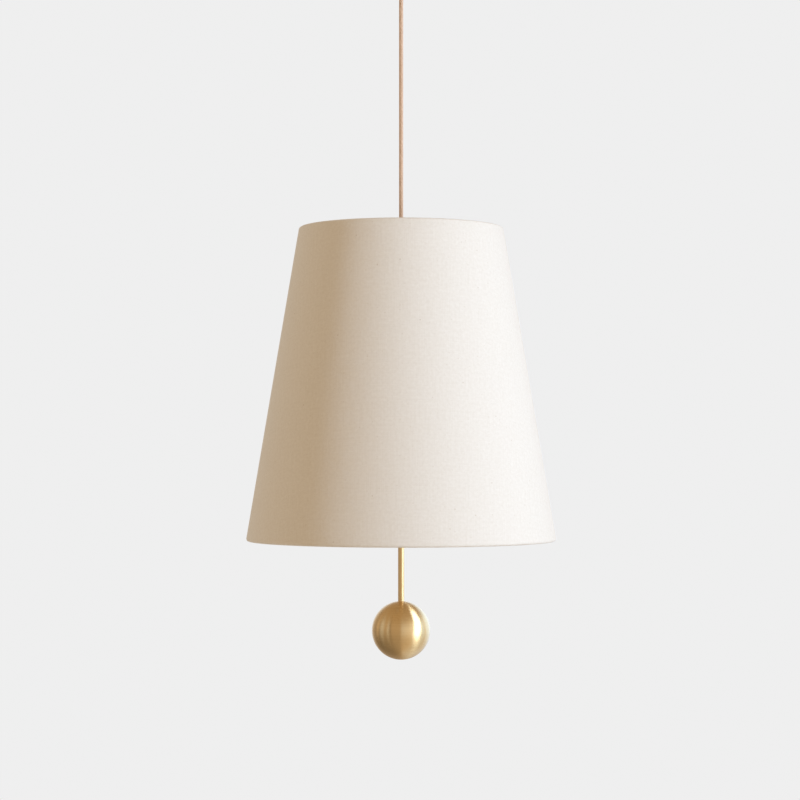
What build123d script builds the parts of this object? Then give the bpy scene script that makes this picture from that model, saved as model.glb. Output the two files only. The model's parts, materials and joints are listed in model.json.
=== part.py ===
from build123d import *
from math import atan2, cos, degrees, radians, sin, tan
import os

# Pendant lamp: a tapered linen shade on a taut textile cord, with a brass rod and ball hanging through it.
# Millimetres, +Z up. The origin is on the ceiling, at the middle of the mounting bracket.

# Clearances
FIT_CLEARANCE = 0.1  # radial, between a thread or slip fit and its hole
RUNNING_CLEARANCE = 0.3  # between pieces that turn against each other
CORD_CLEARANCE = 0.25  # around the cord in the throat of a grip
WIRE_CLEARANCE = 0.5  # around a wire ring inside its hem

# Cord
CORD_DIAMETER = 5.6
CORD_LENGTH = 307.0  # between the two points where it bends, one in each grip
CORD_LEAN = 22.0  # degrees that the mouth of a grip lets the cord lean, whichever way
CORD_RIM = 0.5  # width of the flat rim at each hollow end of the free stretch
LEAD_DIAMETER = 1.6
LEAD_SPACING = 2.6  # between the live and the neutral lead
LEAD_BEND_RADIUS = 4.0

# Threaded pieces on the centre line and at the sockets
NIPPLE_WALL = 1.5
LOCKNUT_RIM = 2.0  # from the thread to a flat
LOCKNUT_THICKNESS = 3.0
WASHER_RIM = 4.0
WASHER_THICKNESS = 1.0
THREAD_STANDOUT = 2.0  # of a thread past its nut
CLAMP_SCREW_DIAMETER = 3.0
CLAMP_SCREW_KEY_WIDTH = 1.5  # across the flats of its hexagon socket
CLAMP_SCREW_KEY_DEPTH = 1.5

# Cord grips
GRIP_WALL = 1.7  # around the thread inside
GRIP_FLANGE_RIM = 2.0
GRIP_FLANGE_THICKNESS = 2.0
GRIP_MOUTH_DEPTH = 6.0
GRIP_LIP_RADIUS = 1.0
GRIP_LIP_SHARE = 0.45  # the most of the rim that each of its two roundings may take
GRIP_THREAD_DEPTH = 10.0
CEILING_GRIP_LENGTH = 30.0  # below the canopy
LAMP_GRIP_LENGTH = 26.0
CLAMP_SCREW_DISTANCE = 7.0  # from the cord's bending point to its clamp screw

# Ceiling fitting
CANOPY_DIAMETER = 120.0
CANOPY_DEPTH = 25.0
CANOPY_WALL = 1.2
CANOPY_EDGE_RADIUS = 8.0
BRACKET_WIDTH = 20.0
BRACKET_THICKNESS = 2.0
BRACKET_BEND_RADIUS = 3.0
BRACKET_TAB_DROP = 14.0
BOX_SLOT_SPACING = 89.0  # the screws of a ceiling box
BOX_SLOT_WIDTH = 4.5
BOX_SLOT_LENGTH = 12.0
CANOPY_SCREW_DIAMETER = 4.0
CANOPY_SCREW_HEAD_DIAMETER = 8.0
CANOPY_SCREW_HEAD_LENGTH = 3.5
CANOPY_SCREW_SLOT_WIDTH = 1.0
CANOPY_SCREW_SLOT_DEPTH = 1.2
CANOPY_SCREW_DROP = 8.0  # below the ceiling
TERMINAL_LENGTH = 24.0
TERMINAL_WIDTH = 18.0
TERMINAL_HEIGHT = 12.0
TERMINAL_REACH = 12.0  # from the centre line to the block
TERMINAL_POLE_SPACING = 9.0
TERMINAL_BORE = 3.2
TERMINAL_SCREW_DIAMETER = 3.2
TERMINAL_SCREW_INSET = 6.0  # from each end of the block
EARTH_SCREW_REACH = 24.0  # from the centre line
EARTH_SCREW_DIAMETER = 4.0
EARTH_SCREW_HEAD_DIAMETER = 7.5
EARTH_SCREW_HEAD_THICKNESS = 2.4

# Shade
SHADE_TOP_DIAMETER = 265.0
SHADE_BOTTOM_DIAMETER = 400.0
SHADE_HEIGHT = 405.0
FABRIC_THICKNESS = 0.7
LINER_THICKNESS = 0.5
GLUE_THICKNESS = 0.3  # between the linen and the liner
WIRE_DIAMETER = 3.0  # both rings
HEM_TUCK = 60.0  # degrees that the linen is tucked on under each ring
HUB_DROP = 20.0  # from the top rim down to the hub plate
HUB_RIM = 7.0  # of the hub plate past its washers
HUB_THICKNESS = 2.0
SPOKE_COUNT = 3
SPOKE_START_ANGLE = 90.0  # the first spoke points to the back
SPOKE_DIAMETER = 3.0
SPOKE_WELD = 4.0  # length of a spoke on the hub plate
SPOKE_RISE_WIDTH = 16.0  # each spoke rises to the ring over this width
SPOKE_BEND_RADIUS = 10.0

# Socket cluster
CLUSTER_DIAMETER = 52.0
CLUSTER_WALL = 3.0
CLUSTER_STRAIGHT = 18.0  # height of the wall above the cone
CLUSTER_FLOOR_DIAMETER = 20.0
CLUSTER_FLOOR_THICKNESS = 4.0
CAP_THICKNESS = 3.0
CAP_SPIGOT_WALL = 3.0
CAP_SPIGOT_DEPTH = 7.0
CAP_SCREW_DIAMETER = 3.0
CAP_SCREW_HEAD_DIAMETER = 5.6
CAP_SCREW_HEAD_THICKNESS = 1.6
SOCKET_TILT = 40.0  # degrees from straight down
BOSS_WALL = 3.0
BOSS_HEIGHT = 6.0

# Sockets and bulbs, along each socket's own axis from the face of its boss
SOCKET_HUB_LENGTH = 6.0
SOCKET_HUB_WALL = 4.0
SOCKET_CAP_WALL = 1.2
SOCKET_CAP_CONE = 9.0  # length of the cap's cone
SOCKET_CAP_SKIRT = 5.0  # of the cap over the shell
SOCKET_SHELL_WALL = 0.8
SOCKET_SHELL_LENGTH = 40.0
INSULATOR_WALL = 1.3
INSULATOR_BASE = 4.0
SCREW_SHELL_WALL = 1.2
SCREW_SHELL_LENGTH = 22.0
CONTACT_DIAMETER = 8.0
CONTACT_HEIGHT = 2.0
BULB_BASE_DIAMETER = 26.0
BULB_BASE_LENGTH = 24.0
BULB_BASE_TAPER = 3.0  # height of the insulating cone around its button
BULB_DIAMETER = 60.0
BULB_GLOBE_LENGTH = 82.0
BULB_NECK_DIAMETER = 27.0
BULB_NECK_ANGLE = 35.0  # degrees below the globe's equator where the neck's cone leaves it
BULB_NECK_BEND_RADIUS = 18.0
BULB_WALL = 1.0

# Drop rod and ball
ROD_DIAMETER = 8.0
ROD_NUT_RIM = 2.5
ROD_NUT_THICKNESS = 5.0
ROD_COLLAR_WALL = 4.0
ROD_COLLAR_LENGTH = 8.0
BALL_DIAMETER = 76.0
BALL_WALL = 1.5
BALL_DROP = 116.0  # from the shade's bottom rim to the middle of the ball
BUSHING_WALL = 5.0
BUSHING_LENGTH = 20.0
ROD_THREAD_DEPTH = 16.0  # of the rod in the bushing, from the top of the ball

# Radii
cord_r = CORD_DIAMETER / 2
lead_r = LEAD_DIAMETER / 2
throat_r = cord_r / cos(radians(CORD_LEAN)) + CORD_CLEARANCE
mouth_r = throat_r + GRIP_MOUTH_DEPTH * tan(radians(CORD_LEAN))
nipple_bore_r = throat_r + CORD_CLEARANCE
nipple_r = nipple_bore_r + NIPPLE_WALL
nipple_hole_r = nipple_r + FIT_CLEARANCE
grip_thread_r = nipple_r + RUNNING_CLEARANCE
grip_r = grip_thread_r + GRIP_WALL
grip_flange_r = grip_r + GRIP_FLANGE_RIM
grip_lip = min(GRIP_LIP_RADIUS, (grip_r - mouth_r) * GRIP_LIP_SHARE)
washer_r = nipple_r + WASHER_RIM
locknut_flats = 2 * (nipple_r + LOCKNUT_RIM)
clamp_screw_r = CLAMP_SCREW_DIAMETER / 2
canopy_r = CANOPY_DIAMETER / 2
canopy_inner_r = canopy_r - CANOPY_WALL
rod_r = ROD_DIAMETER / 2
rod_hole_r = rod_r + FIT_CLEARANCE
ball_r = BALL_DIAMETER / 2
ball_inner_r = ball_r - BALL_WALL

# Heights, from the ceiling down to the ball
canopy_floor = CANOPY_WALL - CANOPY_DEPTH
grip_spigot_top = canopy_floor + WASHER_THICKNESS + LOCKNUT_THICKNESS + THREAD_STANDOUT
ceiling_grip_tip = -CANOPY_DEPTH - CEILING_GRIP_LENGTH
upper_bend = ceiling_grip_tip + GRIP_MOUTH_DEPTH
ceiling_tail_top = grip_spigot_top + FIT_CLEARANCE
lower_bend = upper_bend - CORD_LENGTH
lamp_grip_top = lower_bend + GRIP_MOUTH_DEPTH
lamp_grip_base = lamp_grip_top - LAMP_GRIP_LENGTH
upper_nut_base = lamp_grip_base - RUNNING_CLEARANCE - LOCKNUT_THICKNESS
hub_top = upper_nut_base - WASHER_THICKNESS
shade_top = hub_top + HUB_DROP
shade_bottom = shade_top - SHADE_HEIGHT
cap_top = hub_top - HUB_THICKNESS - WASHER_THICKNESS
cap_underside = cap_top - CAP_THICKNESS
lower_nut_base = cap_underside - LOCKNUT_THICKNESS
nipple_bottom = lower_nut_base - THREAD_STANDOUT
nipple_top = lamp_grip_base + GRIP_THREAD_DEPTH - RUNNING_CLEARANCE
lamp_tail_bottom = nipple_bottom - RUNNING_CLEARANCE
ball_centre = shade_bottom - BALL_DROP
rod_bottom = ball_centre + ball_r - ROD_THREAD_DEPTH

os.makedirs("parts", exist_ok=True)


def save(piece, name):
    """Label a finished sub-part and write it as a STEP file of that name."""
    piece.part.label = name
    export_step(piece.part, f"parts/{name}.step")


def rings(bases, inner_r, outer_r, thickness):
    """Plain rings around the centre line, one on each base height."""
    with BuildPart() as piece:
        for base in bases:
            with BuildSketch(Plane.XY.offset(base)):
                Circle(outer_r)
                Circle(inner_r, mode=Mode.SUBTRACT)
            extrude(amount=thickness)
    return piece


def hex_nuts(bases, hole_r, across_flats, thickness):
    """Hexagon nuts around the centre line, one on each base height."""
    with BuildPart() as piece:
        for base in bases:
            with BuildSketch(Plane.XY.offset(base)):
                RegularPolygon(across_flats / 2, 6, major_radius=False)
                Circle(hole_r, mode=Mode.SUBTRACT)
            extrude(amount=thickness)
    return piece


def tube(bottom, top, inner_r, outer_r):
    """A straight tube on the centre line."""
    return rings([bottom], inner_r, outer_r, top - bottom)


def clamp_screw(height):
    """A socket set screw from the back of a grip to the cord at this height."""
    length = grip_r - cord_r
    with BuildPart() as piece:
        with BuildSketch(Plane.XZ.offset(-cord_r)):
            with Locations((0, height)):
                Circle(clamp_screw_r)
        extrude(amount=-length)
        with BuildSketch(Plane.XZ.offset(-grip_r)):
            with Locations((0, height)):
                RegularPolygon(CLAMP_SCREW_KEY_WIDTH / 2, 6, major_radius=False)
        extrude(amount=CLAMP_SCREW_KEY_DEPTH, mode=Mode.SUBTRACT)
    return piece


def cut_clamp_hole(height):
    """Drill the hole of a clamp screw into the back of the grip that is being made."""
    with Locations(Location((0, grip_flange_r, height), (-90, 0, 0))):
        Hole(clamp_screw_r + FIT_CLEARANCE, depth=grip_flange_r)


def radial_plane(turn):
    """The upright plane through the centre line at this angle, with its x outwards and its y up."""
    angle = radians(turn)
    return Plane((0, 0, 0), x_dir=(cos(angle), sin(angle), 0), z_dir=(sin(angle), -cos(angle), 0))


def lead(*corners):
    """An insulated wire through these corners."""
    with BuildPart() as piece:
        with BuildLine() as route:
            if len(corners) > 2:
                FilletPolyline(*corners, radius=LEAD_BEND_RADIUS)
            else:
                Line(*corners)
        with BuildSketch(Plane(origin=route.line @ 0, z_dir=route.line % 0)):
            Circle(lead_r)
        sweep(path=route.line)
    return piece


# Ceiling bracket: a strap with two slots for the ceiling box and a tab at each end for the canopy
bracket_half = (canopy_inner_r**2 - (BRACKET_WIDTH / 2) ** 2) ** 0.5 - RUNNING_CLEARANCE
tab_middle = bracket_half - BRACKET_THICKNESS / 2
with BuildPart() as ceiling_bracket:
    with BuildSketch(Plane.XZ):
        with BuildLine():
            FilletPolyline(
                (-tab_middle, -BRACKET_TAB_DROP),
                (-tab_middle, -BRACKET_THICKNESS / 2),
                (tab_middle, -BRACKET_THICKNESS / 2),
                (tab_middle, -BRACKET_TAB_DROP),
                radius=BRACKET_BEND_RADIUS,
            )
        trace(line_width=BRACKET_THICKNESS)
    extrude(amount=BRACKET_WIDTH / 2, both=True)
    with BuildSketch():
        with GridLocations(BOX_SLOT_SPACING, 0, 2, 1):
            SlotOverall(BOX_SLOT_LENGTH, BOX_SLOT_WIDTH)
        with Locations((EARTH_SCREW_REACH, 0)):
            Circle(EARTH_SCREW_DIAMETER / 2 + FIT_CLEARANCE)
    extrude(amount=-BRACKET_THICKNESS, mode=Mode.SUBTRACT)
    with BuildSketch(Plane.YZ):
        with Locations((0, -CANOPY_SCREW_DROP)):
            Circle(CANOPY_SCREW_DIAMETER / 2 + FIT_CLEARANCE)
    extrude(amount=bracket_half, both=True, mode=Mode.SUBTRACT)
save(ceiling_bracket, "ceiling_bracket")

# Canopy: a shallow spun cup whose rim meets the ceiling
canopy_middle_r = canopy_r - CANOPY_WALL / 2
canopy_floor_middle = canopy_floor - CANOPY_WALL / 2
with BuildPart() as canopy:
    with BuildSketch(Plane.XZ):
        with BuildLine():
            FilletPolyline(
                (nipple_hole_r, canopy_floor_middle),
                (canopy_middle_r, canopy_floor_middle),
                (canopy_middle_r, 0),
                radius=CANOPY_EDGE_RADIUS - CANOPY_WALL / 2,
            )
        trace(line_width=CANOPY_WALL)
    revolve(axis=Axis.Z)
    with BuildSketch(Plane.YZ):
        with Locations((0, -CANOPY_SCREW_DROP)):
            Circle(CANOPY_SCREW_DIAMETER / 2 + FIT_CLEARANCE)
    extrude(amount=canopy_r, both=True, mode=Mode.SUBTRACT)
save(canopy, "canopy")

# Canopy screws: from both sides through the canopy into the tabs of the bracket
canopy_screw_length = canopy_r - bracket_half + BRACKET_THICKNESS + THREAD_STANDOUT
with BuildPart() as canopy_screws:
    with Locations(
        Location((canopy_r, 0, -CANOPY_SCREW_DROP), (0, 90, 0)),
        Location((-canopy_r, 0, -CANOPY_SCREW_DROP), (0, -90, 0)),
    ):
        Cylinder(
            CANOPY_SCREW_HEAD_DIAMETER / 2,
            CANOPY_SCREW_HEAD_LENGTH,
            align=(Align.CENTER, Align.CENTER, Align.MIN),
        )
        Cylinder(
            CANOPY_SCREW_DIAMETER / 2,
            canopy_screw_length,
            align=(Align.CENTER, Align.CENTER, Align.MAX),
        )
        with Locations((0, 0, CANOPY_SCREW_HEAD_LENGTH)):
            Box(
                CANOPY_SCREW_SLOT_WIDTH,
                CANOPY_SCREW_HEAD_DIAMETER,
                2 * CANOPY_SCREW_SLOT_DEPTH,
                mode=Mode.SUBTRACT,
            )
save(canopy_screws, "canopy_screws")

# Ceiling cord grip: its threaded spigot goes up through the canopy, its bell mouth lets the cord lean
ceiling_clamp_height = upper_bend + CLAMP_SCREW_DISTANCE
with BuildPart() as ceiling_cord_grip:
    with BuildSketch(Plane.XZ):
        with BuildLine():
            Polyline(
                (throat_r, grip_spigot_top),
                (nipple_r, grip_spigot_top),
                (nipple_r, -CANOPY_DEPTH),
                (grip_flange_r, -CANOPY_DEPTH),
                (grip_flange_r, -CANOPY_DEPTH - GRIP_FLANGE_THICKNESS),
                (grip_r, -CANOPY_DEPTH - GRIP_FLANGE_THICKNESS),
                (grip_r, ceiling_grip_tip),
                (mouth_r, ceiling_grip_tip),
                (throat_r, upper_bend),
                close=True,
            )
        make_face()
    revolve(axis=Axis.Z)
    fillet(ceiling_cord_grip.edges().group_by(Axis.Z)[0], radius=grip_lip)
    cut_clamp_hole(ceiling_clamp_height)
save(ceiling_cord_grip, "ceiling_cord_grip")

ceiling_grip_screw = clamp_screw(ceiling_clamp_height)
save(ceiling_grip_screw, "ceiling_grip_screw")

grip_washer = rings([canopy_floor], nipple_hole_r, washer_r, WASHER_THICKNESS)
save(grip_washer, "grip_washer")

grip_locknut = hex_nuts(
    [canopy_floor + WASHER_THICKNESS], nipple_hole_r, locknut_flats, LOCKNUT_THICKNESS
)
save(grip_locknut, "grip_locknut")

# Ceiling cord tail: the clamped end of the cord, up to where its sheath is stripped
ceiling_tail_bottom = upper_bend + cord_r + RUNNING_CLEARANCE
with BuildPart() as ceiling_cord_tail:
    with BuildSketch(Plane.XY.offset(ceiling_tail_bottom)):
        Circle(cord_r)
    extrude(amount=ceiling_tail_top - ceiling_tail_bottom)
save(ceiling_cord_tail, "ceiling_cord_tail")

# Terminal block: under the bracket, with a bore and two screws for each of its two poles
terminal_bore_height = -BRACKET_THICKNESS - TERMINAL_HEIGHT / 2
terminal_bottom = -BRACKET_THICKNESS - TERMINAL_HEIGHT
terminal_middle = -TERMINAL_REACH - TERMINAL_LENGTH / 2
terminal_screw_spacing = TERMINAL_LENGTH - 2 * TERMINAL_SCREW_INSET
terminal_screw_tip = terminal_bore_height - lead_r
with BuildPart() as terminal_block:
    with Locations((terminal_middle, 0, terminal_bottom)):
        Box(
            TERMINAL_LENGTH,
            TERMINAL_WIDTH,
            TERMINAL_HEIGHT,
            align=(Align.CENTER, Align.CENTER, Align.MIN),
        )
    with BuildSketch(Plane.YZ):
        with Locations((0, terminal_bore_height)):
            with GridLocations(TERMINAL_POLE_SPACING, 0, 2, 1):
                Circle(TERMINAL_BORE / 2)
    extrude(amount=-TERMINAL_REACH - TERMINAL_LENGTH, mode=Mode.SUBTRACT)
    with BuildSketch(Plane.XY.offset(terminal_bottom)):
        with Locations((terminal_middle, 0)):
            with GridLocations(terminal_screw_spacing, TERMINAL_POLE_SPACING, 2, 2):
                Circle(TERMINAL_SCREW_DIAMETER / 2 + FIT_CLEARANCE)
    extrude(amount=TERMINAL_HEIGHT / 2, mode=Mode.SUBTRACT)
save(terminal_block, "terminal_block")

with BuildPart() as terminal_screws:
    with BuildSketch(Plane.XY.offset(terminal_bottom)):
        with Locations((terminal_middle, 0)):
            with GridLocations(terminal_screw_spacing, TERMINAL_POLE_SPACING, 2, 2):
                Circle(TERMINAL_SCREW_DIAMETER / 2)
    extrude(amount=terminal_screw_tip - terminal_bottom)
save(terminal_screws, "terminal_screws")

# Ceiling leads: live and neutral to the terminal block, earth to its screw on the bracket
lead_seat = ceiling_tail_top + FIT_CLEARANCE
for name, side in (("live_lead", 1), ("neutral_lead", -1)):
    ceiling_lead = lead(
        (-LEAD_SPACING / 2, side * LEAD_SPACING / 2, lead_seat),
        (-LEAD_SPACING / 2, side * LEAD_SPACING / 2, terminal_bore_height),
        (-TERMINAL_REACH, side * TERMINAL_POLE_SPACING / 2, terminal_bore_height),
        (-TERMINAL_REACH - TERMINAL_LENGTH / 2, side * TERMINAL_POLE_SPACING / 2, terminal_bore_height),
    )
    save(ceiling_lead, name)

earth_lead_height = -BRACKET_THICKNESS - FIT_CLEARANCE - lead_r
earth_lead_end = EARTH_SCREW_REACH - EARTH_SCREW_DIAMETER / 2 - FIT_CLEARANCE
earth_lead = lead(
    (LEAD_SPACING / 2, 0, lead_seat),
    (LEAD_SPACING / 2, 0, earth_lead_height),
    (earth_lead_end, 0, earth_lead_height),
)
save(earth_lead, "earth_lead")

# Earth screw: pins the earth lead under its head
earth_head_top = earth_lead_height - lead_r - FIT_CLEARANCE
with BuildPart() as earth_screw:
    with BuildSketch(Plane.XY.offset(-FIT_CLEARANCE)):
        with Locations((EARTH_SCREW_REACH, 0)):
            Circle(EARTH_SCREW_DIAMETER / 2)
    extrude(amount=earth_head_top + FIT_CLEARANCE)
    with BuildSketch(Plane.XY.offset(earth_head_top)):
        with Locations((EARTH_SCREW_REACH, 0)):
            RegularPolygon(EARTH_SCREW_HEAD_DIAMETER / 2, 6, major_radius=False)
    extrude(amount=-EARTH_SCREW_HEAD_THICKNESS)
save(earth_screw, "earth_screw")

# Pendant cord: the free stretch, hollow at each end around the bend in the mouth of the grip
bend_seat_r = cord_r + RUNNING_CLEARANCE
end_setback = (bend_seat_r**2 - (cord_r - CORD_RIM) ** 2) ** 0.5
with BuildPart() as pendant_cord:
    with BuildSketch(Plane.XY.offset(lower_bend + end_setback)):
        Circle(cord_r)
    extrude(amount=CORD_LENGTH - 2 * end_setback)
    with Locations((0, 0, lower_bend), (0, 0, upper_bend)):
        Sphere(bend_seat_r, mode=Mode.SUBTRACT)
save(pendant_cord, "pendant_cord")

# Cord bends: the short stretch of the cord that bends in the mouth of each grip
for name, height in (("cord_upper_bend", upper_bend), ("cord_lower_bend", lower_bend)):
    with BuildPart() as cord_bend:
        with Locations((0, 0, height)):
            Sphere(cord_r)
    save(cord_bend, name)

# Lamp cord grip: screwed on the lamp's nipple, with its bell mouth up
lamp_clamp_height = lower_bend - CLAMP_SCREW_DISTANCE
with BuildPart() as lamp_cord_grip:
    with BuildSketch(Plane.XZ):
        with BuildLine():
            Polyline(
                (throat_r, lower_bend),
                (mouth_r, lamp_grip_top),
                (grip_r, lamp_grip_top),
                (grip_r, lamp_grip_base + GRIP_FLANGE_THICKNESS),
                (grip_flange_r, lamp_grip_base + GRIP_FLANGE_THICKNESS),
                (grip_flange_r, lamp_grip_base),
                (grip_thread_r, lamp_grip_base),
                (grip_thread_r, lamp_grip_base + GRIP_THREAD_DEPTH),
                (throat_r, lamp_grip_base + GRIP_THREAD_DEPTH),
                close=True,
            )
        make_face()
    revolve(axis=Axis.Z)
    fillet(lamp_cord_grip.edges().group_by(Axis.Z)[-1], radius=grip_lip)
    cut_clamp_hole(lamp_clamp_height)
save(lamp_cord_grip, "lamp_cord_grip")

lamp_grip_screw = clamp_screw(lamp_clamp_height)
save(lamp_grip_screw, "lamp_grip_screw")

# Lamp cord tail: the clamped lower end of the cord, through the nipple into the cluster
lamp_tail_top = lower_bend - cord_r - RUNNING_CLEARANCE
with BuildPart() as lamp_cord_tail:
    with BuildSketch(Plane.XY.offset(lamp_tail_top)):
        Circle(cord_r)
    extrude(amount=lamp_tail_bottom - lamp_tail_top)
save(lamp_cord_tail, "lamp_cord_tail")

# Hub stack: nipple, nuts and washers that clamp the spider on the cluster
lamp_nipple = tube(nipple_bottom, nipple_top, nipple_bore_r, nipple_r)
save(lamp_nipple, "lamp_nipple")

hub_nuts = hex_nuts([upper_nut_base, lower_nut_base], nipple_hole_r, locknut_flats, LOCKNUT_THICKNESS)
save(hub_nuts, "hub_nuts")

hub_washers = rings([hub_top, cap_top], nipple_hole_r, washer_r, WASHER_THICKNESS)
save(hub_washers, "hub_washers")

# Shade edges: at each rim the linen rolls round the edge of the liner and the wire ring inside it
wire_r = WIRE_DIAMETER / 2
roll_inner_r = (GLUE_THICKNESS + LINER_THICKNESS + 2 * WIRE_CLEARANCE + WIRE_DIAMETER) / 2
roll_middle_r = roll_inner_r + FABRIC_THICKNESS / 2
roll_outer_r = roll_inner_r + FABRIC_THICKNESS
slope = atan2((SHADE_BOTTOM_DIAMETER - SHADE_TOP_DIAMETER) / 2, SHADE_HEIGHT - 2 * roll_outer_r)
outward = Vector(cos(slope), sin(slope))
top_roll = Vector(SHADE_TOP_DIAMETER / 2 - roll_outer_r * cos(slope), shade_top - roll_outer_r)
bottom_roll = Vector(SHADE_BOTTOM_DIAMETER / 2 - roll_outer_r * cos(slope), shade_bottom + roll_outer_r)
liner_offset = roll_inner_r - GLUE_THICKNESS - LINER_THICKNESS / 2
wire_offset = wire_r + WIRE_CLEARANCE - roll_inner_r
top_wire = top_roll + outward * wire_offset
bottom_wire = bottom_roll + outward * wire_offset

for name, wire in (("top_ring", top_wire), ("bottom_ring", bottom_wire)):
    with BuildPart() as wire_ring:
        with Locations((0, 0, wire.Y)):
            Torus(wire.X, wire_r)
    save(wire_ring, name)

# Spider: three spokes from the hub plate out and up to the top ring
hub_r = washer_r + HUB_RIM
spoke_start = (hub_r - SPOKE_WELD, hub_top)
spoke_bend = (top_wire.X - SPOKE_RISE_WIDTH, hub_top)
spoke_end = (top_wire.X, top_wire.Y)
with BuildPart() as shade_spider:
    with BuildSketch(Plane.XY.offset(hub_top)):
        Circle(hub_r)
    extrude(amount=-HUB_THICKNESS)
    for index in range(SPOKE_COUNT):
        turn = SPOKE_START_ANGLE + index * 360 / SPOKE_COUNT
        with BuildLine(radial_plane(turn)) as spoke_line:
            FilletPolyline(spoke_start, spoke_bend, spoke_end, radius=SPOKE_BEND_RADIUS)
        with BuildSketch(Plane(origin=spoke_line.line @ 0, z_dir=spoke_line.line % 0)):
            Circle(SPOKE_DIAMETER / 2)
        sweep(path=spoke_line.line)
    with Locations((0, 0, top_wire.Y)):
        Torus(top_wire.X, wire_r + FIT_CLEARANCE, mode=Mode.SUBTRACT)
    with BuildSketch(Plane.XY.offset(hub_top)):
        Circle(nipple_hole_r)
    extrude(amount=-HUB_THICKNESS, mode=Mode.SUBTRACT)
save(shade_spider, "shade_spider")

# Shade liner: a stiff white cone behind the linen
with BuildPart() as shade_liner:
    with BuildSketch(Plane.XZ):
        with BuildLine():
            Line(top_roll + outward * liner_offset, bottom_roll + outward * liner_offset)
        trace(line_width=LINER_THICKNESS)
    revolve(axis=Axis.Z)
save(shade_liner, "shade_liner")

# Shade fabric: the linen cone with its rolled edges, notched at the top for each spoke
notch_r = SPOKE_DIAMETER / 2 + RUNNING_CLEARANCE
with BuildPart() as shade_fabric:
    with BuildSketch(Plane.XZ):
        with BuildLine():
            top_hem = CenterArc(top_roll, roll_middle_r, degrees(slope), 180 + HEM_TUCK)
            bottom_hem = CenterArc(bottom_roll, roll_middle_r, degrees(slope), -180 - HEM_TUCK)
            Line(top_hem @ 0, bottom_hem @ 0)
        trace(line_width=FABRIC_THICKNESS)
    revolve(axis=Axis.Z)
    for index in range(SPOKE_COUNT):
        turn = SPOKE_START_ANGLE + index * 360 / SPOKE_COUNT
        weld = radial_plane(turn).from_local_coords(spoke_end)
        bend = radial_plane(turn).from_local_coords(spoke_bend)
        with BuildSketch(Plane(origin=weld, z_dir=bend - weld)):
            Circle(notch_r)
        extrude(amount=2 * roll_outer_r, mode=Mode.SUBTRACT)
save(shade_fabric, "shade_fabric")

# Cluster cap: a lid whose spigot goes down inside the body
cluster_r = CLUSTER_DIAMETER / 2
cluster_inner_r = cluster_r - CLUSTER_WALL
spigot_r = cluster_inner_r - FIT_CLEARANCE
cap_screw_height = cap_underside - CAP_SPIGOT_DEPTH / 2
with BuildPart() as cluster_cap:
    with BuildSketch(Plane.XY.offset(cap_top)):
        Circle(cluster_r)
    extrude(amount=-CAP_THICKNESS)
    with BuildSketch(Plane.XY.offset(cap_underside)):
        Circle(spigot_r)
        Circle(spigot_r - CAP_SPIGOT_WALL, mode=Mode.SUBTRACT)
    extrude(amount=-CAP_SPIGOT_DEPTH)
    with BuildSketch(Plane.XY.offset(cap_top)):
        Circle(nipple_hole_r)
    extrude(amount=-CAP_THICKNESS, mode=Mode.SUBTRACT)
    with BuildSketch(Plane.XZ):
        with Locations((0, cap_screw_height)):
            Circle(CAP_SCREW_DIAMETER / 2 + FIT_CLEARANCE)
    extrude(amount=cluster_r, both=True, mode=Mode.SUBTRACT)
save(cluster_cap, "cluster_cap")

# Cluster body: a cup with a cone below, where a boss for each socket stands square to the cone
tilt = radians(SOCKET_TILT)
cone_top = cap_underside - CLUSTER_STRAIGHT
floor_r = CLUSTER_FLOOR_DIAMETER / 2
floor_bottom = cone_top - (cluster_r - floor_r) * tan(tilt)
floor_top = floor_bottom + CLUSTER_FLOOR_THICKNESS
inner_cone_top = cone_top + CLUSTER_WALL / cos(tilt) - CLUSTER_WALL * tan(tilt)
inner_floor_r = cluster_inner_r - (inner_cone_top - floor_top) / tan(tilt)
cone_middle = Vector((cluster_r + floor_r) / 2, 0, (cone_top + floor_bottom) / 2)
boss_r = nipple_hole_r + BOSS_WALL


def socket_direction(side):
    """Where the socket on this side points: down and outwards."""
    return Vector(side * sin(tilt), 0, -cos(tilt))


def socket_origin(side):
    """The middle of the boss face that the socket on this side seats on."""
    return Vector(side * cone_middle.X, 0, cone_middle.Z) + socket_direction(side) * BOSS_HEIGHT


with BuildPart() as cluster_body:
    with BuildSketch(Plane.XZ):
        with BuildLine():
            Polyline(
                (rod_hole_r, floor_bottom),
                (floor_r, floor_bottom),
                (cluster_r, cone_top),
                (cluster_r, cap_underside),
                (cluster_inner_r, cap_underside),
                (cluster_inner_r, inner_cone_top),
                (inner_floor_r, floor_top),
                (rod_hole_r, floor_top),
                close=True,
            )
        make_face()
    revolve(axis=Axis.Z)
    for side in (-1, 1):
        with BuildSketch(Plane(origin=socket_origin(side), z_dir=socket_direction(side))):
            Circle(boss_r)
        extrude(amount=-BOSS_HEIGHT - CLUSTER_WALL / 2)
        with BuildSketch(Plane(origin=socket_origin(side), z_dir=socket_direction(side))):
            Circle(nipple_hole_r)
        extrude(amount=-BOSS_HEIGHT - 2 * CLUSTER_WALL, mode=Mode.SUBTRACT)
    with BuildSketch(Plane.XZ):
        with Locations((0, cap_screw_height)):
            Circle(CAP_SCREW_DIAMETER / 2 + FIT_CLEARANCE)
    extrude(amount=cluster_r, both=True, mode=Mode.SUBTRACT)
save(cluster_body, "cluster_body")

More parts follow.
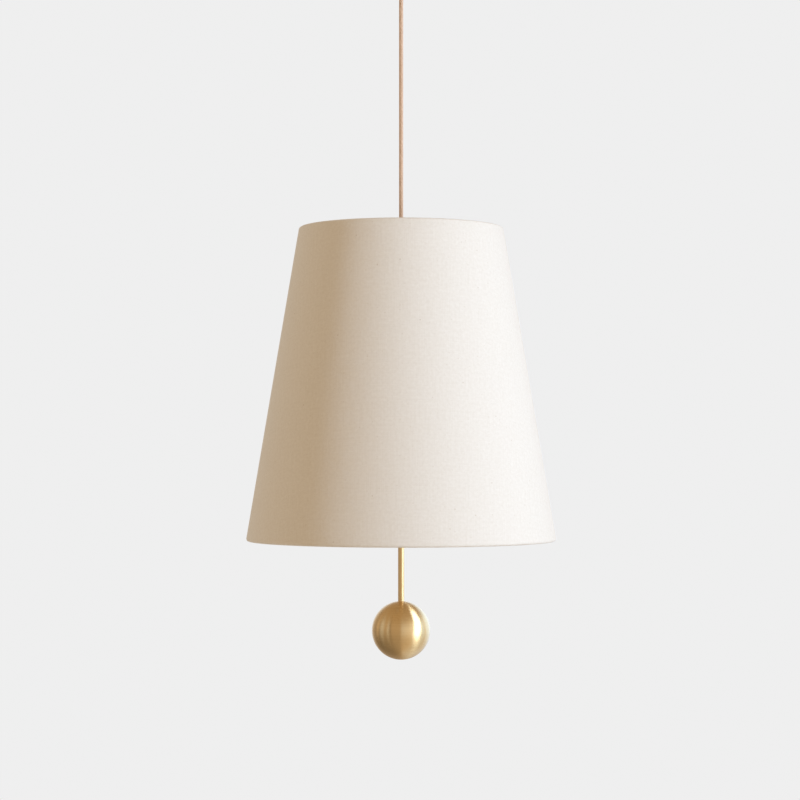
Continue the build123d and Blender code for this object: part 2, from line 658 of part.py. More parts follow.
# Cluster screws: through the front and back of the body into the cap's spigot
with BuildPart() as cluster_screws:
    with Locations(
        Location((0, cluster_r, cap_screw_height), (-90, 0, 0)),
        Location((0, -cluster_r, cap_screw_height), (90, 0, 0)),
    ):
        Cylinder(
            CAP_SCREW_HEAD_DIAMETER / 2,
            CAP_SCREW_HEAD_THICKNESS,
            align=(Align.CENTER, Align.CENTER, Align.MIN),
        )
        Cylinder(
            CAP_SCREW_DIAMETER / 2,
            CLUSTER_WALL + CAP_SPIGOT_WALL,
            align=(Align.CENTER, Align.CENTER, Align.MAX),
        )
save(cluster_screws, "cluster_screws")

# Socket radii, from the bulb's base outwards
bulb_base_r = BULB_BASE_DIAMETER / 2
screw_shell_r = bulb_base_r + RUNNING_CLEARANCE
insulator_inner_r = screw_shell_r + SCREW_SHELL_WALL + FIT_CLEARANCE
insulator_r = insulator_inner_r + INSULATOR_WALL
shell_inner_r = insulator_r + FIT_CLEARANCE
shell_r = shell_inner_r + SOCKET_SHELL_WALL
socket_cap_inner_r = shell_r + FIT_CLEARANCE
socket_cap_r = socket_cap_inner_r + SOCKET_CAP_WALL
socket_hub_r = nipple_hole_r + SOCKET_HUB_WALL

# Socket stations, along its axis from the boss
cap_cone_end = SOCKET_HUB_LENGTH + SOCKET_CAP_CONE
cap_end = cap_cone_end + SOCKET_CAP_SKIRT
shell_start = cap_cone_end + FIT_CLEARANCE
shell_end = shell_start + SOCKET_SHELL_LENGTH
insulator_end = shell_end - INSULATOR_WALL
contact_seat = shell_start + INSULATOR_BASE
button_seat = contact_seat + CONTACT_HEIGHT
screw_shell_end = button_seat + SCREW_SHELL_LENGTH
bulb_base_end = button_seat + BULB_BASE_LENGTH
globe_r = (BULB_DIAMETER - BULB_WALL) / 2
globe_middle = bulb_base_end + BULB_GLOBE_LENGTH - BULB_DIAMETER / 2
neck_r = (BULB_NECK_DIAMETER - BULB_WALL) / 2
neck_angle = radians(BULB_NECK_ANGLE)
cone_start = Vector(globe_r * cos(neck_angle), globe_middle - globe_r * sin(neck_angle))
neck_end = cone_start.Y - (cone_start.X - neck_r) / tan(neck_angle)

for side_name, side in (("left", -1), ("right", 1)):
    direction = socket_direction(side)
    origin = socket_origin(side)
    seat = Plane(origin=origin, x_dir=(0, 1, 0), z_dir=direction)
    section = Plane(origin=origin, x_dir=(0, 1, 0), z_dir=Vector(0, 1, 0).cross(direction))
    socket_axis = Axis(origin, direction)

    # Nipple: from inside the cluster through the boss into the socket's cap
    with BuildPart() as socket_nipple:
        with BuildSketch(seat.offset(-BOSS_HEIGHT - CLUSTER_WALL)):
            Circle(nipple_r)
            Circle(nipple_bore_r, mode=Mode.SUBTRACT)
        extrude(amount=BOSS_HEIGHT + CLUSTER_WALL + SOCKET_HUB_LENGTH)
    save(socket_nipple, f"{side_name}_socket_nipple")

    # Cap: a threaded hub that widens to a skirt over the shell
    with BuildPart() as socket_cap:
        with BuildSketch(section):
            with BuildLine():
                Polyline(
                    (nipple_hole_r, 0),
                    (socket_hub_r, 0),
                    (socket_hub_r, SOCKET_HUB_LENGTH - SOCKET_CAP_WALL),
                    (socket_cap_r, cap_cone_end - SOCKET_CAP_WALL),
                    (socket_cap_r, cap_end),
                    (socket_cap_inner_r, cap_end),
                    (socket_cap_inner_r, cap_cone_end),
                    (socket_hub_r, SOCKET_HUB_LENGTH),
                    (nipple_hole_r, SOCKET_HUB_LENGTH),
                    close=True,
                )
            make_face()
        revolve(axis=socket_axis)
    save(socket_cap, f"{side_name}_socket_cap")

    # Shell: a thin metal tube
    with BuildPart() as socket_shell:
        with BuildSketch(seat.offset(shell_start)):
            Circle(shell_r)
            Circle(shell_inner_r, mode=Mode.SUBTRACT)
        extrude(amount=SOCKET_SHELL_LENGTH)
    save(socket_shell, f"{side_name}_socket_shell")

    # Insulator: a cup inside the shell
    with BuildPart() as socket_insulator:
        with BuildSketch(seat.offset(shell_start)):
            Circle(insulator_r)
        extrude(amount=insulator_end - shell_start)
        with BuildSketch(seat.offset(contact_seat)):
            Circle(insulator_inner_r)
        extrude(amount=insulator_end - contact_seat, mode=Mode.SUBTRACT)
    save(socket_insulator, f"{side_name}_socket_insulator")

    # Screw shell: the threaded contact around the bulb's base
    with BuildPart() as socket_screw_shell:
        with BuildSketch(seat.offset(contact_seat)):
            Circle(screw_shell_r + SCREW_SHELL_WALL)
            Circle(screw_shell_r, mode=Mode.SUBTRACT)
        extrude(amount=screw_shell_end - contact_seat)
    save(socket_screw_shell, f"{side_name}_socket_screw_shell")

    # Centre contact: a button on the floor of the insulator
    with BuildPart() as socket_contact:
        with BuildSketch(seat.offset(contact_seat)):
            Circle(CONTACT_DIAMETER / 2)
        extrude(amount=CONTACT_HEIGHT)
    save(socket_contact, f"{side_name}_socket_contact")

    # Leads: a live and a neutral wire from the end of the cord to the insulator
    lead_start = (lamp_tail_bottom - LEAD_DIAMETER - origin.Z) / direction.Z
    with BuildPart() as socket_leads:
        with BuildSketch(seat.offset(lead_start)):
            with GridLocations(LEAD_SPACING, 0, 2, 1):
                Circle(lead_r)
        extrude(amount=shell_start - lead_start)
    save(socket_leads, f"{side_name}_socket_leads")

    # Bulb base: screwed home on the centre contact
    with BuildPart() as bulb_base:
        with BuildSketch(section):
            with BuildLine():
                Polyline(
                    (0, button_seat),
                    (CONTACT_DIAMETER / 2, button_seat),
                    (bulb_base_r, button_seat + BULB_BASE_TAPER),
                    (bulb_base_r, bulb_base_end),
                    (0, bulb_base_end),
                    close=True,
                )
            make_face()
        revolve(axis=socket_axis)
    save(bulb_base, f"{side_name}_bulb_base")

    # Bulb globe: a thin frosted envelope that narrows to its neck
    with BuildPart() as bulb_globe:
        with BuildSketch(section):
            with BuildLine():
                FilletPolyline(
                    (neck_r, bulb_base_end),
                    (neck_r, neck_end),
                    cone_start,
                    radius=BULB_NECK_BEND_RADIUS,
                )
                CenterArc((0, globe_middle), globe_r, -BULB_NECK_ANGLE, 90 + BULB_NECK_ANGLE)
            trace(line_width=BULB_WALL)
        revolve(axis=socket_axis)
    save(bulb_globe, f"{side_name}_bulb_globe")

# Drop rod: from a nut inside the cluster down to the ball
rod_top = floor_top + ROD_NUT_THICKNESS + THREAD_STANDOUT
with BuildPart() as drop_rod:
    with BuildSketch(Plane.XY.offset(rod_bottom)):
        Circle(rod_r)
    extrude(amount=rod_top - rod_bottom)
save(drop_rod, "drop_rod")

rod_nut = hex_nuts([floor_top], rod_hole_r, 2 * (rod_r + ROD_NUT_RIM), ROD_NUT_THICKNESS)
save(rod_nut, "rod_nut")

rod_collar = tube(floor_bottom - ROD_COLLAR_LENGTH, floor_bottom, rod_hole_r, rod_r + ROD_COLLAR_WALL)
save(rod_collar, "rod_collar")

# Ball: a hollow spun shell with a hole on top for the rod
with BuildPart() as ball_shell:
    with Locations((0, 0, ball_centre)):
        Sphere(ball_r)
        Sphere(ball_inner_r, mode=Mode.SUBTRACT)
    with BuildSketch(Plane.XY.offset(ball_centre)):
        Circle(rod_hole_r)
    extrude(amount=ball_r, mode=Mode.SUBTRACT)
save(ball_shell, "ball_shell")

# Ball bushing: a threaded block soldered inside the top of the ball
bushing_r = rod_hole_r + BUSHING_WALL
with BuildPart() as ball_bushing:
    with BuildSketch(Plane.XY.offset(ball_centre + ball_r)):
        Circle(bushing_r)
        Circle(rod_hole_r, mode=Mode.SUBTRACT)
    extrude(amount=-BUSHING_LENGTH)
    with Locations((0, 0, ball_centre)):
        Sphere(ball_inner_r - FIT_CLEARANCE, mode=Mode.INTERSECT)
save(ball_bushing, "ball_bushing")

print(f"bending points {upper_bend:.2f} and {lower_bend:.2f}, shade {shade_top:.2f} to {shade_bottom:.2f}")
print(f"ball centre {ball_centre:.2f}, cluster floor {floor_bottom:.2f}, shade slope {degrees(slope):.3f} degrees")
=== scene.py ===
"""Dresses the pendant lamp: linen shade, braided cord, satin brass drop and the fittings behind them."""
import json
import math

import bmesh
import bpy
from bpy.props import FloatProperty, FloatVectorProperty, IntProperty, PointerProperty
from bpy.types import Operator, Panel, PropertyGroup
from mathutils import Matrix, Vector


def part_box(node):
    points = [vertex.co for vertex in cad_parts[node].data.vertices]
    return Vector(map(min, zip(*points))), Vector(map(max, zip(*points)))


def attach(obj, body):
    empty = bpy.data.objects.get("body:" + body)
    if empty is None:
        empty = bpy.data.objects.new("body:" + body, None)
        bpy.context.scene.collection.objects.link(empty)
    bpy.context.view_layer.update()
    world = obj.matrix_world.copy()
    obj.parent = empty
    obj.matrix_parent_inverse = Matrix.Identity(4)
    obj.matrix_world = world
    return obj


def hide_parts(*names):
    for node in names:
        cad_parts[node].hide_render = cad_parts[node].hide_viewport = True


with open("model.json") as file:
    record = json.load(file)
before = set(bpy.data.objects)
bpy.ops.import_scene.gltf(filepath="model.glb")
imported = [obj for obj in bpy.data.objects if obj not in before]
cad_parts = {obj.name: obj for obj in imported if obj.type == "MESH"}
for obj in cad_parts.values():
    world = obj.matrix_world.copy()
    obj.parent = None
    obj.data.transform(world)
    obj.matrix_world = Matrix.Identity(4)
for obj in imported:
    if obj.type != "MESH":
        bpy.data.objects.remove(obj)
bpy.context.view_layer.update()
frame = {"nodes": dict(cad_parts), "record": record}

bl_info = {
    "name": "Pendant lamp",
    "version": (1, 0, 0),
    "blender": (4, 5, 0),
    "location": "View3D > Sidebar > Lamp",
    "description": "Makes the cloth, metal, glass and cord of a pendant lamp on its packed frame",
    "category": "Object",
}

FULL_TURN = 2 * math.pi
CLOTH_MAP = "cloth"
YARN_SHADE = "yarn"

WELD = 2e-6  # corners nearer than this are one corner
SLIVER = 1e-7  # edges shorter than this are none
ON_AXIS = 1e-6  # points nearer than this to the centre line are on it

NODES = frame["nodes"]
RECORD = frame["record"]
BODY_OF = {node: body for body, nodes in RECORD["behaviour"]["bodies"].items() for node in nodes}
SLOT_OF = {part["node"]: part["material_slot"] for part in RECORD["subparts"]}


def lowest(node):
    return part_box(node)[0]


def highest(node):
    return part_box(node)[1]


def span(node):
    return highest(node) - lowest(node)


def middle(node):
    return (highest(node) + lowest(node)) / 2


# Sizes and colours


def length(name, description, default):
    return FloatProperty(name=name, description=description, default=default, unit="LENGTH", precision=4)


def angle(name, description, degrees):
    return FloatProperty(name=name, description=description, default=math.radians(degrees), unit="ROTATION")


def number(name, description, default):
    return FloatProperty(name=name, description=description, default=default)


def count(name, description, default):
    return IntProperty(name=name, description=description, default=default, min=2)


def colour(name, description, default):
    return FloatVectorProperty(
        name=name, description=description, default=default, subtype="COLOR", size=3, min=0, max=1
    )


def shaded(shade, share):
    """A colour made darker or brighter by a share."""
    return tuple(part * share for part in shade)


class LampSizes(PropertyGroup):
    """Sizes of the pieces that are made new; the rest follow the frame."""

    shade_top: length("Shade top", "Diameter of the shade at its top rim", 0.265)
    shade_bottom: length("Shade bottom", "Diameter of the shade at its bottom rim", span("shade_fabric").x)
    hem_roll: length("Hem roll", "Diameter of the linen rolled round a ring", 0.0062)
    hem_tuck: angle("Hem tuck", "Turn of the linen under each ring past the half turn", 60)
    linen: length("Linen", "Thickness of the linen", 0.0007)
    liner: length("Liner", "Thickness of the liner", 0.0005)
    glue: length("Glue", "Thickness of the glue between linen and liner", 0.0003)
    lap: angle("Lap", "Width of the lapped seam round the shade", 4)
    seam: angle("Seam", "Place of the linen's seam, from the front", 157)
    notch: angle("Notch", "Half the width of the hem's notch for a spoke", 1.3)
    thread: length("Thread", "Distance between threads of the linen", 0.00058)
    yarns: count("Yarns", "Yarns of the cord's braid that run each way", 12)
    yarn: length("Yarn", "Diameter of a yarn", 0.00092)
    crossing: length("Crossing", "Distance that a yarn moves out and in at each crossing", 0.0002)
    braid_lay: length("Braid lay", "Length of cord in which a yarn goes round once", 0.021)
    spoke: length("Spoke", "Diameter of a spoke of the spider", 0.003)
    spoke_rise: length("Spoke rise", "Width over which a spoke rises to its ring", 0.016)
    spoke_bend: length("Spoke bend", "Bending radius of a spoke", 0.010)
    spoke_weld: length("Spoke weld", "Length of a spoke on the hub plate", 0.004)
    hub_plate: length("Hub plate", "Thickness of the spider's hub plate", 0.002)
    hub_rim: length("Hub rim", "Width of the hub plate past its washers", 0.007)
    ball_wall: length("Ball wall", "Thickness of the ball's shell", 0.0015)
    edge: length("Edge", "Rounding of turned edges", 0.0004)
    knurls: count("Knurls", "Ridges round the head of a canopy screw", 28)


class LampColours(PropertyGroup):
    """Colours of the lamp's materials, as the light of a plain room shows them."""

    linen: colour("Linen", "Threads of the shade", (0.82, 0.775, 0.70))
    # The darker linen colour is painted shade in the hollows between threads, and also the cloth's own
    # uneven tone of slubs and mottle.
    linen_hollow_shade_and_tone: colour("Linen between threads", "Hollows of the weave", (0.735, 0.68, 0.595))
    linen_fleck: colour("Linen fleck", "Bits of husk in the yarn", (0.50, 0.40, 0.28))
    liner: colour("Liner", "Sheet behind the linen", (0.84, 0.80, 0.72))
    cord: colour("Cord", "Paler yarns of the cord", (0.82, 0.59, 0.42))
    cord_dark: colour("Cord shade", "Darker yarns of the cord", (0.56, 0.365, 0.23))
    brass: colour("Brass", "Satin brass", (0.83, 0.60, 0.30))
    brass_dull: colour("Dull brass", "Brass where it has dulled", (0.66, 0.45, 0.20))
    zinc: colour("Zinc", "Zinc plate", (0.62, 0.63, 0.64))
    wire: colour("Wire", "White coat of the shade's wires", (0.84, 0.83, 0.80))
    glass: colour("Glass", "Frosted glass", (0.90, 0.90, 0.88))
    phenolic: colour("Phenolic", "Insulating parts of the sockets", (0.035, 0.028, 0.024))
    terminal: colour("Terminal", "Block of the ceiling terminals", (0.80, 0.79, 0.75))
    live: colour("Live", "Live lead", (0.20, 0.085, 0.035))
    neutral: colour("Neutral", "Neutral lead", (0.05, 0.16, 0.42))
    earth: colour("Earth", "Earth lead", (0.10, 0.32, 0.06))
    socket: colour("Socket lead", "Leads inside the cluster", (0.55, 0.53, 0.50))


class LampStage(PropertyGroup):
    """The camera, the light and the floor."""

    camera_distance: length("Camera distance", "From the lamp's centre line", 2.802)
    camera_height: length("Camera height", "From the ceiling, negative below it", -0.6445)
    camera_aside: length("Camera aside", "Sideways from the centre line", -0.0015)
    lens: number("Lens", "Focal length in millimetres", 97.34)
    rise: number("Rise", "Upward shift of the lens, as a share of the picture", 0.0593)
    light: colour("Light", "Daylight of the soft box and the window", (0.62, 0.77, 0.97))
    light_distance: length("Light distance", "From the lamp to the soft box and the window", 2.2)
    box_angle: angle("Soft box angle", "To the right of the camera, about the lamp", 53.5)
    box_width: length("Soft box width", "Of the soft box that lights the lamp", 0.4)
    box_height: length("Soft box height", "Of the soft box that lights the lamp", 2.0)
    box_middle: length("Soft box middle", "Height of the soft box's middle, from the ceiling", -0.3)
    box_watts: number("Soft box watts", "Power of the soft box", 65.5)
    window_angle: angle("Window angle", "To the right of the camera, about the lamp", 81)
    window_lean: angle("Window lean", "Of the window's top away from the camera", 20)
    window_width: length("Window width", "Of the tall window that the metal mirrors", 1.3)
    window_height: length("Window height", "Of the tall window that the metal mirrors", 5.6)
    window_middle: length("Window middle", "Height of the window's middle, from the ceiling", 0.9)
    window_watts: number("Window watts", "Power of the window", 84.0)
    backdrop: colour("Backdrop", "Pale wall behind the lamp", (0.862, 0.862, 0.862))
    room: colour("Room", "Dim warm room on the camera's side", (0.635, 0.512, 0.378))
    corner: colour("Corner", "Darker corner of the room beside the window", (0.38, 0.22, 0.07))
    ceiling: colour("Ceiling", "Dim ceiling of the room", (0.46, 0.33, 0.20))
    floor: colour("Floor", "Pale floor under the lamp", (0.86, 0.84, 0.80))
    floor_drop: length("Floor drop", "From the ceiling to the floor", 2.5)
    floor_radius: length("Floor radius", "Of the floor's pale disc", 1.5)


# Nodes


def socket_of(sockets, key):
    if isinstance(key, int):
        return sockets[key]
    return next(socket for socket in sockets if socket.name == key and socket.enabled)


class Value:
    """An output socket; arithmetic on it adds Math nodes."""

    def __init__(self, graph, socket):
        self.graph = graph
        self.socket = socket

    def math(self, operation, other=None, swapped=False):
        pair = {0: other, 1: self} if swapped else {0: self, 1: other}
        return self.graph.add("ShaderNodeMath", {"operation": operation}, pair)

    def clamped(self):
        return self.graph.add("ShaderNodeClamp", None, {0: self})

    def __add__(self, other):
        return self.math("ADD", other)

    def __radd__(self, other):
        return self.math("ADD", other, True)

    def __sub__(self, other):
        return self.math("SUBTRACT", other)

    def __rsub__(self, other):
        return self.math("SUBTRACT", other, True)

    def __mul__(self, other):
        return self.math("MULTIPLY", other)

    def __rmul__(self, other):
        return self.math("MULTIPLY", other, True)

    def __truediv__(self, other):
        return self.math("DIVIDE", other)

    def __rtruediv__(self, other):
        return self.math("DIVIDE", other, True)


class Graph:
    """A node tree that is built from values."""

    def __init__(self, tree):
        self.tree = tree

    def add(self, kind, settings=None, sockets=None, output=0):
        """Adds a node with its settings, then the values or links of its sockets, and gives one output."""
        node = self.tree.nodes.new(kind)
        for key, setting in (settings or {}).items():
            if key == "stops":
                stops = node.color_ramp.elements
                while len(stops) < len(setting):
                    stops.new(1.0)
                for stop, (position, shade) in zip(stops, setting):
                    stop.position = position
                    stop.color = (*shade, 1)
            else:
                setattr(node, key, setting)
        for key, value in (sockets or {}).items():
            self.join(socket_of(node.inputs, key), value)
        return Value(self, socket_of(node.outputs, output))

    def join(self, socket, value):
        if isinstance(value, list):
            for one in reversed(value):
                self.join(socket, one)
        elif isinstance(value, Value):
            self.tree.links.new(value.socket, socket)
        elif value is not None:
            socket.default_value = value

    def second(self, value, name):
        """Another output of the node that gave this value."""
        return Value(self, socket_of(value.socket.node.outputs, name))

    def vector(self, operation, first, other, output=0):
        return self.add("ShaderNodeVectorMath", {"operation": operation}, {0: first, 1: other}, output)

    def scaled(self, vector, factor):
        return self.add("ShaderNodeVectorMath", {"operation": "SCALE"}, {0: vector, "Scale": factor})

    def fade(self, value, start, end):
        """Goes from 0 where the value is at its start to 1 at its end, and no further."""
        return self.add("ShaderNodeMapRange", None, {"Value": value, "From Min": start, "From Max": end})

    def mix(self, factor, first, second):
        pair = [shade if isinstance(shade, Value) else (*shade, 1) for shade in (first, second)]
        return self.add("ShaderNodeMix", {"data_type": "RGBA"}, {0: factor, 6: pair[0], 7: pair[1]}, 2)


class Finish(Graph):
    """A material with one Principled shader."""

    def __init__(self, name):
        self.material = bpy.data.materials.new(name)
        self.material.use_nodes = True
        super().__init__(self.material.node_tree)

    def place(self):
        return self.add("ShaderNodeTexCoord", output="Object")

    def noise(self, vector, scale, detail=2.0):
        return self.add("ShaderNodeTexNoise", None, {"Vector": vector, "Scale": scale, "Detail": detail})

    def streaks(self, vector, across, detail):
        """Noise with its own count of features to a metre along each axis."""
        return self.noise(self.vector("MULTIPLY", vector, across), 1.0, detail)

    def bump(self, height, distance):
        return self.add("ShaderNodeBump", None, {"Height": height, "Distance": distance})

    def surface(self, sockets):
        shader = self.tree.nodes["Principled BSDF"]
        for key, value in sockets.items():
            plain = key == "Base Color" and not isinstance(value, Value)
            self.join(shader.inputs[key], (*value, 1) if plain else value)
        return self.material


class Growth(Graph):
    """A Geometry Nodes tree with named inputs, which a curve or mesh object is grown by."""

    def __init__(self, name, inputs):
        super().__init__(bpy.data.node_groups.new(name, "GeometryNodeTree"))
        face = self.tree.interface
        face.new_socket("Geometry", in_out="INPUT", socket_type="NodeSocketGeometry")
        for label, kind in inputs.items():
            face.new_socket(label, in_out="INPUT", socket_type="NodeSocket" + kind)
        face.new_socket("Material", in_out="INPUT", socket_type="NodeSocketMaterial")
        face.new_socket("Geometry", in_out="OUTPUT", socket_type="NodeSocketGeometry")
        self.source = self.add("NodeGroupInput")

    def given(self, name):
        return self.second(self.source, name)

    def tube(self, curve, radius, sides):
        """A round tube along a curve, with closed ends."""
        section = self.add(
            "GeometryNodeCurvePrimitiveCircle", None, {"Resolution": sides, "Radius": radius}
        )
        return self.add(
            "GeometryNodeCurveToMesh", None, {"Curve": curve, "Profile Curve": section, "Fill Caps": True}
        )

    def close(self, parts):
        joined = self.add("GeometryNodeJoinGeometry", None, {0: parts})
        real = self.add("GeometryNodeRealizeInstances", None, {0: joined})
        smooth = self.add("GeometryNodeSetShadeSmooth", None, {0: real})
        dressed = self.add(
            "GeometryNodeSetMaterial", None, {"Geometry": smooth, "Material": self.given("Material")}
        )
        end = self.tree.nodes.new("NodeGroupOutput")
        self.join(end.inputs[0], dressed)

    def grow(self, seed, inputs):
        """Gives the plain mesh that the tree makes of the seed object, and removes the seed."""
        modifier = seed.modifiers.new(self.tree.name, "NODES")
        modifier.node_group = self.tree
        for item in self.tree.interface.items_tree:
            if item.in_out == "INPUT" and item.name in inputs:
                modifier[item.identifier] = inputs[item.name]
        mesh = settled(seed)
        bpy.data.objects.remove(seed)
        return mesh


# Meshes and pieces


def link(name, data):
    made = bpy.data.objects.new(name, data)
    bpy.context.scene.collection.objects.link(made)
    return made


def settled(source):
    """The plain mesh of an object with its modifiers worked out."""
    depsgraph = bpy.context.evaluated_depsgraph_get()
    depsgraph.update()
    return bpy.data.meshes.new_from_object(source.evaluated_get(depsgraph), depsgraph=depsgraph)


def smoothed(mesh, crease=32):
    mesh.shade_smooth()
    mesh.set_sharp_from_angle(angle=math.radians(crease))
    return mesh


def add_piece(name, mesh, material, *nodes):
    """Puts a finished mesh on its body in place of these frame nodes."""
    mesh.materials.clear()
    mesh.materials.append(material)
    piece = link(name, mesh)
    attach(piece, BODY_OF[nodes[0]])
    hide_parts(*nodes)
    return piece


def merged_copy(node):
    """A node's mesh with its loose triangles joined, its flat faces whole and its curved ones smooth."""
    source = NODES[node].data
    mesh = bpy.data.meshes.new(node)
    corners = [vertex.co[:] for vertex in source.vertices]
    mesh.from_pydata(corners, [], [tuple(polygon.vertices) for polygon in source.polygons])
    shape = bmesh.new()
    shape.from_mesh(mesh)
    bmesh.ops.remove_doubles(shape, verts=shape.verts, dist=WELD)
    bmesh.ops.dissolve_degenerate(shape, edges=shape.edges, dist=SLIVER)
    shape.to_mesh(mesh)
    shape.free()
    return smoothed(mesh)


def dress(material, *nodes):
    """Replaces nodes by smooth copies in their material."""
    for node in nodes:
        add_piece(node + "_dressed", merged_copy(node), material, node)


def rounded(corners, steps=5):
    """The outline through (radius, height, rounding) corners, each with its arc."""
    points = []
    for index, (radius, height, rounding) in enumerate(corners):
        here = Vector((radius, height))
        if not rounding:
            points.append(here)
            continue
        before = (Vector(corners[index - 1][:2]) - here).normalized()
        after = (Vector(corners[(index + 1) % len(corners)][:2]) - here).normalized()
        half = before.angle(after) / 2
        centre = here + (before + after).normalized() * (rounding / math.sin(half))
        first = here + before * (rounding / math.tan(half)) - centre
        sweep = first.angle_signed(here + after * (rounding / math.tan(half)) - centre)
        for step in range(steps + 1):
            points.append(centre + Matrix.Rotation(-sweep * step / steps, 2) @ first)
    return points


def turned(name, outline, steps=128):
    """A closed mesh: an outline of (radius, height) points turned about the centre line."""
    shape = bmesh.new()
    rings = []
    for radius, height in outline:
        turns = 1 if radius < ON_AXIS else steps
        ring = []
        for n in range(turns):
            way = FULL_TURN * n / turns
            ring.append(shape.verts.new((radius * math.cos(way), radius * math.sin(way), height)))
        rings.append(ring)
    for ring, following in zip(rings, rings[1:] + rings[:1]):
        if len(ring) == 1 and len(following) == 1:
            continue
        for n in range(steps):
            corners = [ring[n % len(ring)], ring[(n + 1) % len(ring)]]
            corners += [following[(n + 1) % len(following)], following[n % len(following)]]
            shape.faces.new(list(dict.fromkeys(corners)))
    bmesh.ops.recalc_face_normals(shape, faces=shape.faces)
    mesh = bpy.data.meshes.new(name)
    shape.to_mesh(mesh)
    shape.free()
    return smoothed(mesh)


def sleeve(name, inner, outer, top, bottom, top_edge=0, bottom_edge=0, steps=128):
    """A turned disc, pin or ring with its outer edges rounded."""
    corners = [(inner, top, 0), (outer, top, top_edge), (outer, bottom, bottom_edge), (inner, bottom, 0)]
    return turned(name, rounded(corners), steps)


def joined(name, meshes):
    shape = bmesh.new()
    for mesh in meshes:
        shape.from_mesh(mesh)
    mesh = bpy.data.meshes.new(name)
    shape.to_mesh(mesh)
    shape.free()
    return mesh


def drawn(name, points, kind):
    """A curve object of one open spline through these points, or with them as its control points."""
    curve = bpy.data.curves.new(name, "CURVE")
    curve.dimensions = "3D"
    spline = curve.splines.new(kind)
    spline.points.add(len(points) - 1)
    for point, place in zip(spline.points, points):
        point.co = (*place, 1)
    if kind == "NURBS":
        spline.order_u = 3
        spline.use_endpoint_u = True
        spline.resolution_u = 12
    return link(name, curve)


# Finishes


def linen_finish(sizes, colours):
    """Plain weave with slubs, on the flat cut of the shade, so the threads run as they were woven."""
    finish = Finish("natural linen")
    cloth = finish.add("ShaderNodeUVMap", {"uv_map": CLOTH_MAP})
    slub_weft = finish.streaks(cloth, (22, 1250, 0), 3.0)
    slub_warp = finish.streaks(cloth, (1250, 22, 0), 3.0)
    mottle = finish.noise(cloth, 260, 4.0)
    stray = finish.noise(cloth, 900)
    across = finish.add("ShaderNodeSeparateXYZ", None, {0: cloth})
    along = finish.second(across, "Y")
    per_thread = math.pi / sizes.thread
    warp = (across * per_thread + stray * 1.2).math("SINE")
    weft = (along * per_thread + stray * 1.2).math("SINE")
    warp_on_top = (warp * weft * 2 + 0.5).clamped()
    warp_height = warp.math("ABSOLUTE") * (0.5 + slub_warp)
    weft_height = weft.math("ABSOLUTE") * (0.5 + slub_weft)
    height = weft_height + (warp_height - weft_height) * warp_on_top
    # Painted shade: the linen darkens where the weave is low, between threads; slubs and mottle add the
    # cloth's own uneven tone.
    tone = (height * 0.45 + slub_warp * 0.75 + slub_weft * 0.5 + mottle * 1.3 - 1.2).clamped()
    cloth_colour = finish.mix(tone, colours.linen_hollow_shade_and_tone, colours.linen)
    husk = finish.noise(cloth, 330, 0.0)
    fleck = ((husk - 0.73) * 3.0).clamped() * 0.5 + ((husk - 0.86) * 12).clamped() * 0.5
    return finish.surface(
        {
            "Base Color": finish.mix(fleck, cloth_colour, colours.linen_fleck),
            "Roughness": 0.9,
            "Specular IOR Level": 0.25,
            "Sheen Weight": 0.12,
            "Sheen Roughness": 0.6,
            "Normal": finish.bump(height, 0.00009),
        }
    )


def cord_finish(colours):
    """Braided cotton: each yarn has its own shade, with its fibres twisted along it."""
    finish = Finish("braided cotton")
    yarn = finish.add("ShaderNodeAttribute", {"attribute_name": YARN_SHADE}, None, "Fac")
    place = finish.place()
    fibres = finish.streaks(place, (5200, 5200, 1400), 3.0)
    soil = finish.noise(place, 45, 3.0)
    tone = (yarn * 0.55 + fibres * 0.75 + soil * 0.3 - 0.35).clamped()
    return finish.surface(
        {
            "Base Color": finish.mix(tone, colours.cord_dark, colours.cord),
            "Roughness": 0.45,
            "Specular IOR Level": 1.0,
            "Sheen Weight": 0.25,
            "Sheen Roughness": 0.5,
            "Normal": finish.bump(fibres, 0.0001),
        }
    )


def brass_finish(name, colours, drawn_out, tilt=0.0, roughness=0.3):
    """Lathe-brushed metal: fine rings about an upright or tilted axis, with a slight dulling in patches."""
    finish = Finish(name)
    place = finish.add("ShaderNodeMapping", None, {"Vector": finish.place(), "Rotation": (0, tilt, 0)})
    rings = finish.streaks(place, (60, 60, 5200), 3.0)
    broad = finish.streaks(place, (14, 14, 900), 2.0)
    patches = finish.noise(place, 38, 4.0)
    wear = ((patches - 0.35) * 0.9 + (broad - 0.5) * 0.6).clamped()
    return finish.surface(
        {
            "Base Color": finish.mix(wear, colours.brass, colours.brass_dull),
            "Metallic": 1.0,
            "Roughness": (roughness + (rings - 0.5) * 0.10 + (patches - 0.5) * 0.08).clamped(),
            "Anisotropic": drawn_out,
            "Anisotropic Rotation": 0.25,
            "Coat Weight": 0.8,
            "Coat Roughness": 0.2,
            "Normal": finish.bump(rings, 0.000012),
        }
    )


def plated_finish(name, shade, dull, roughness):
    """Plated or turned metal with fine scratches and cloudy patches."""
    finish = Finish(name)
    place = finish.place()
    clouds = finish.noise(place, 220, 4.0)
    scratches = finish.streaks(place, (700, 9000, 900), 2.0)
    return finish.surface(
        {
            "Base Color": finish.mix((clouds - 0.25).clamped(), shade, dull),
            "Metallic": 1.0,
            "Roughness": (roughness + (scratches - 0.5) * 0.2 + (clouds - 0.5) * 0.15).clamped(),
            "Normal": finish.bump(scratches, 0.000008),
        }
    )


def moulded_finish(name, shade, roughness, grain, depth):
    """Moulded or coated surface: a fine grain, with its colour a little uneven."""
    finish = Finish(name)
    place = finish.place()
    skin = finish.noise(place, grain, 3.0)
    uneven = finish.noise(place, grain / 14, 3.0)
    darker = shaded(shade, 0.86)
    return finish.surface(
        {
            "Base Color": finish.mix(((uneven - 0.3) * 1.2 + (skin - 0.5) * 0.3).clamped(), shade, darker),
            "Roughness": (roughness + (skin - 0.5) * 0.2).clamped(),
            "Normal": finish.bump(skin, depth),
        }
    )


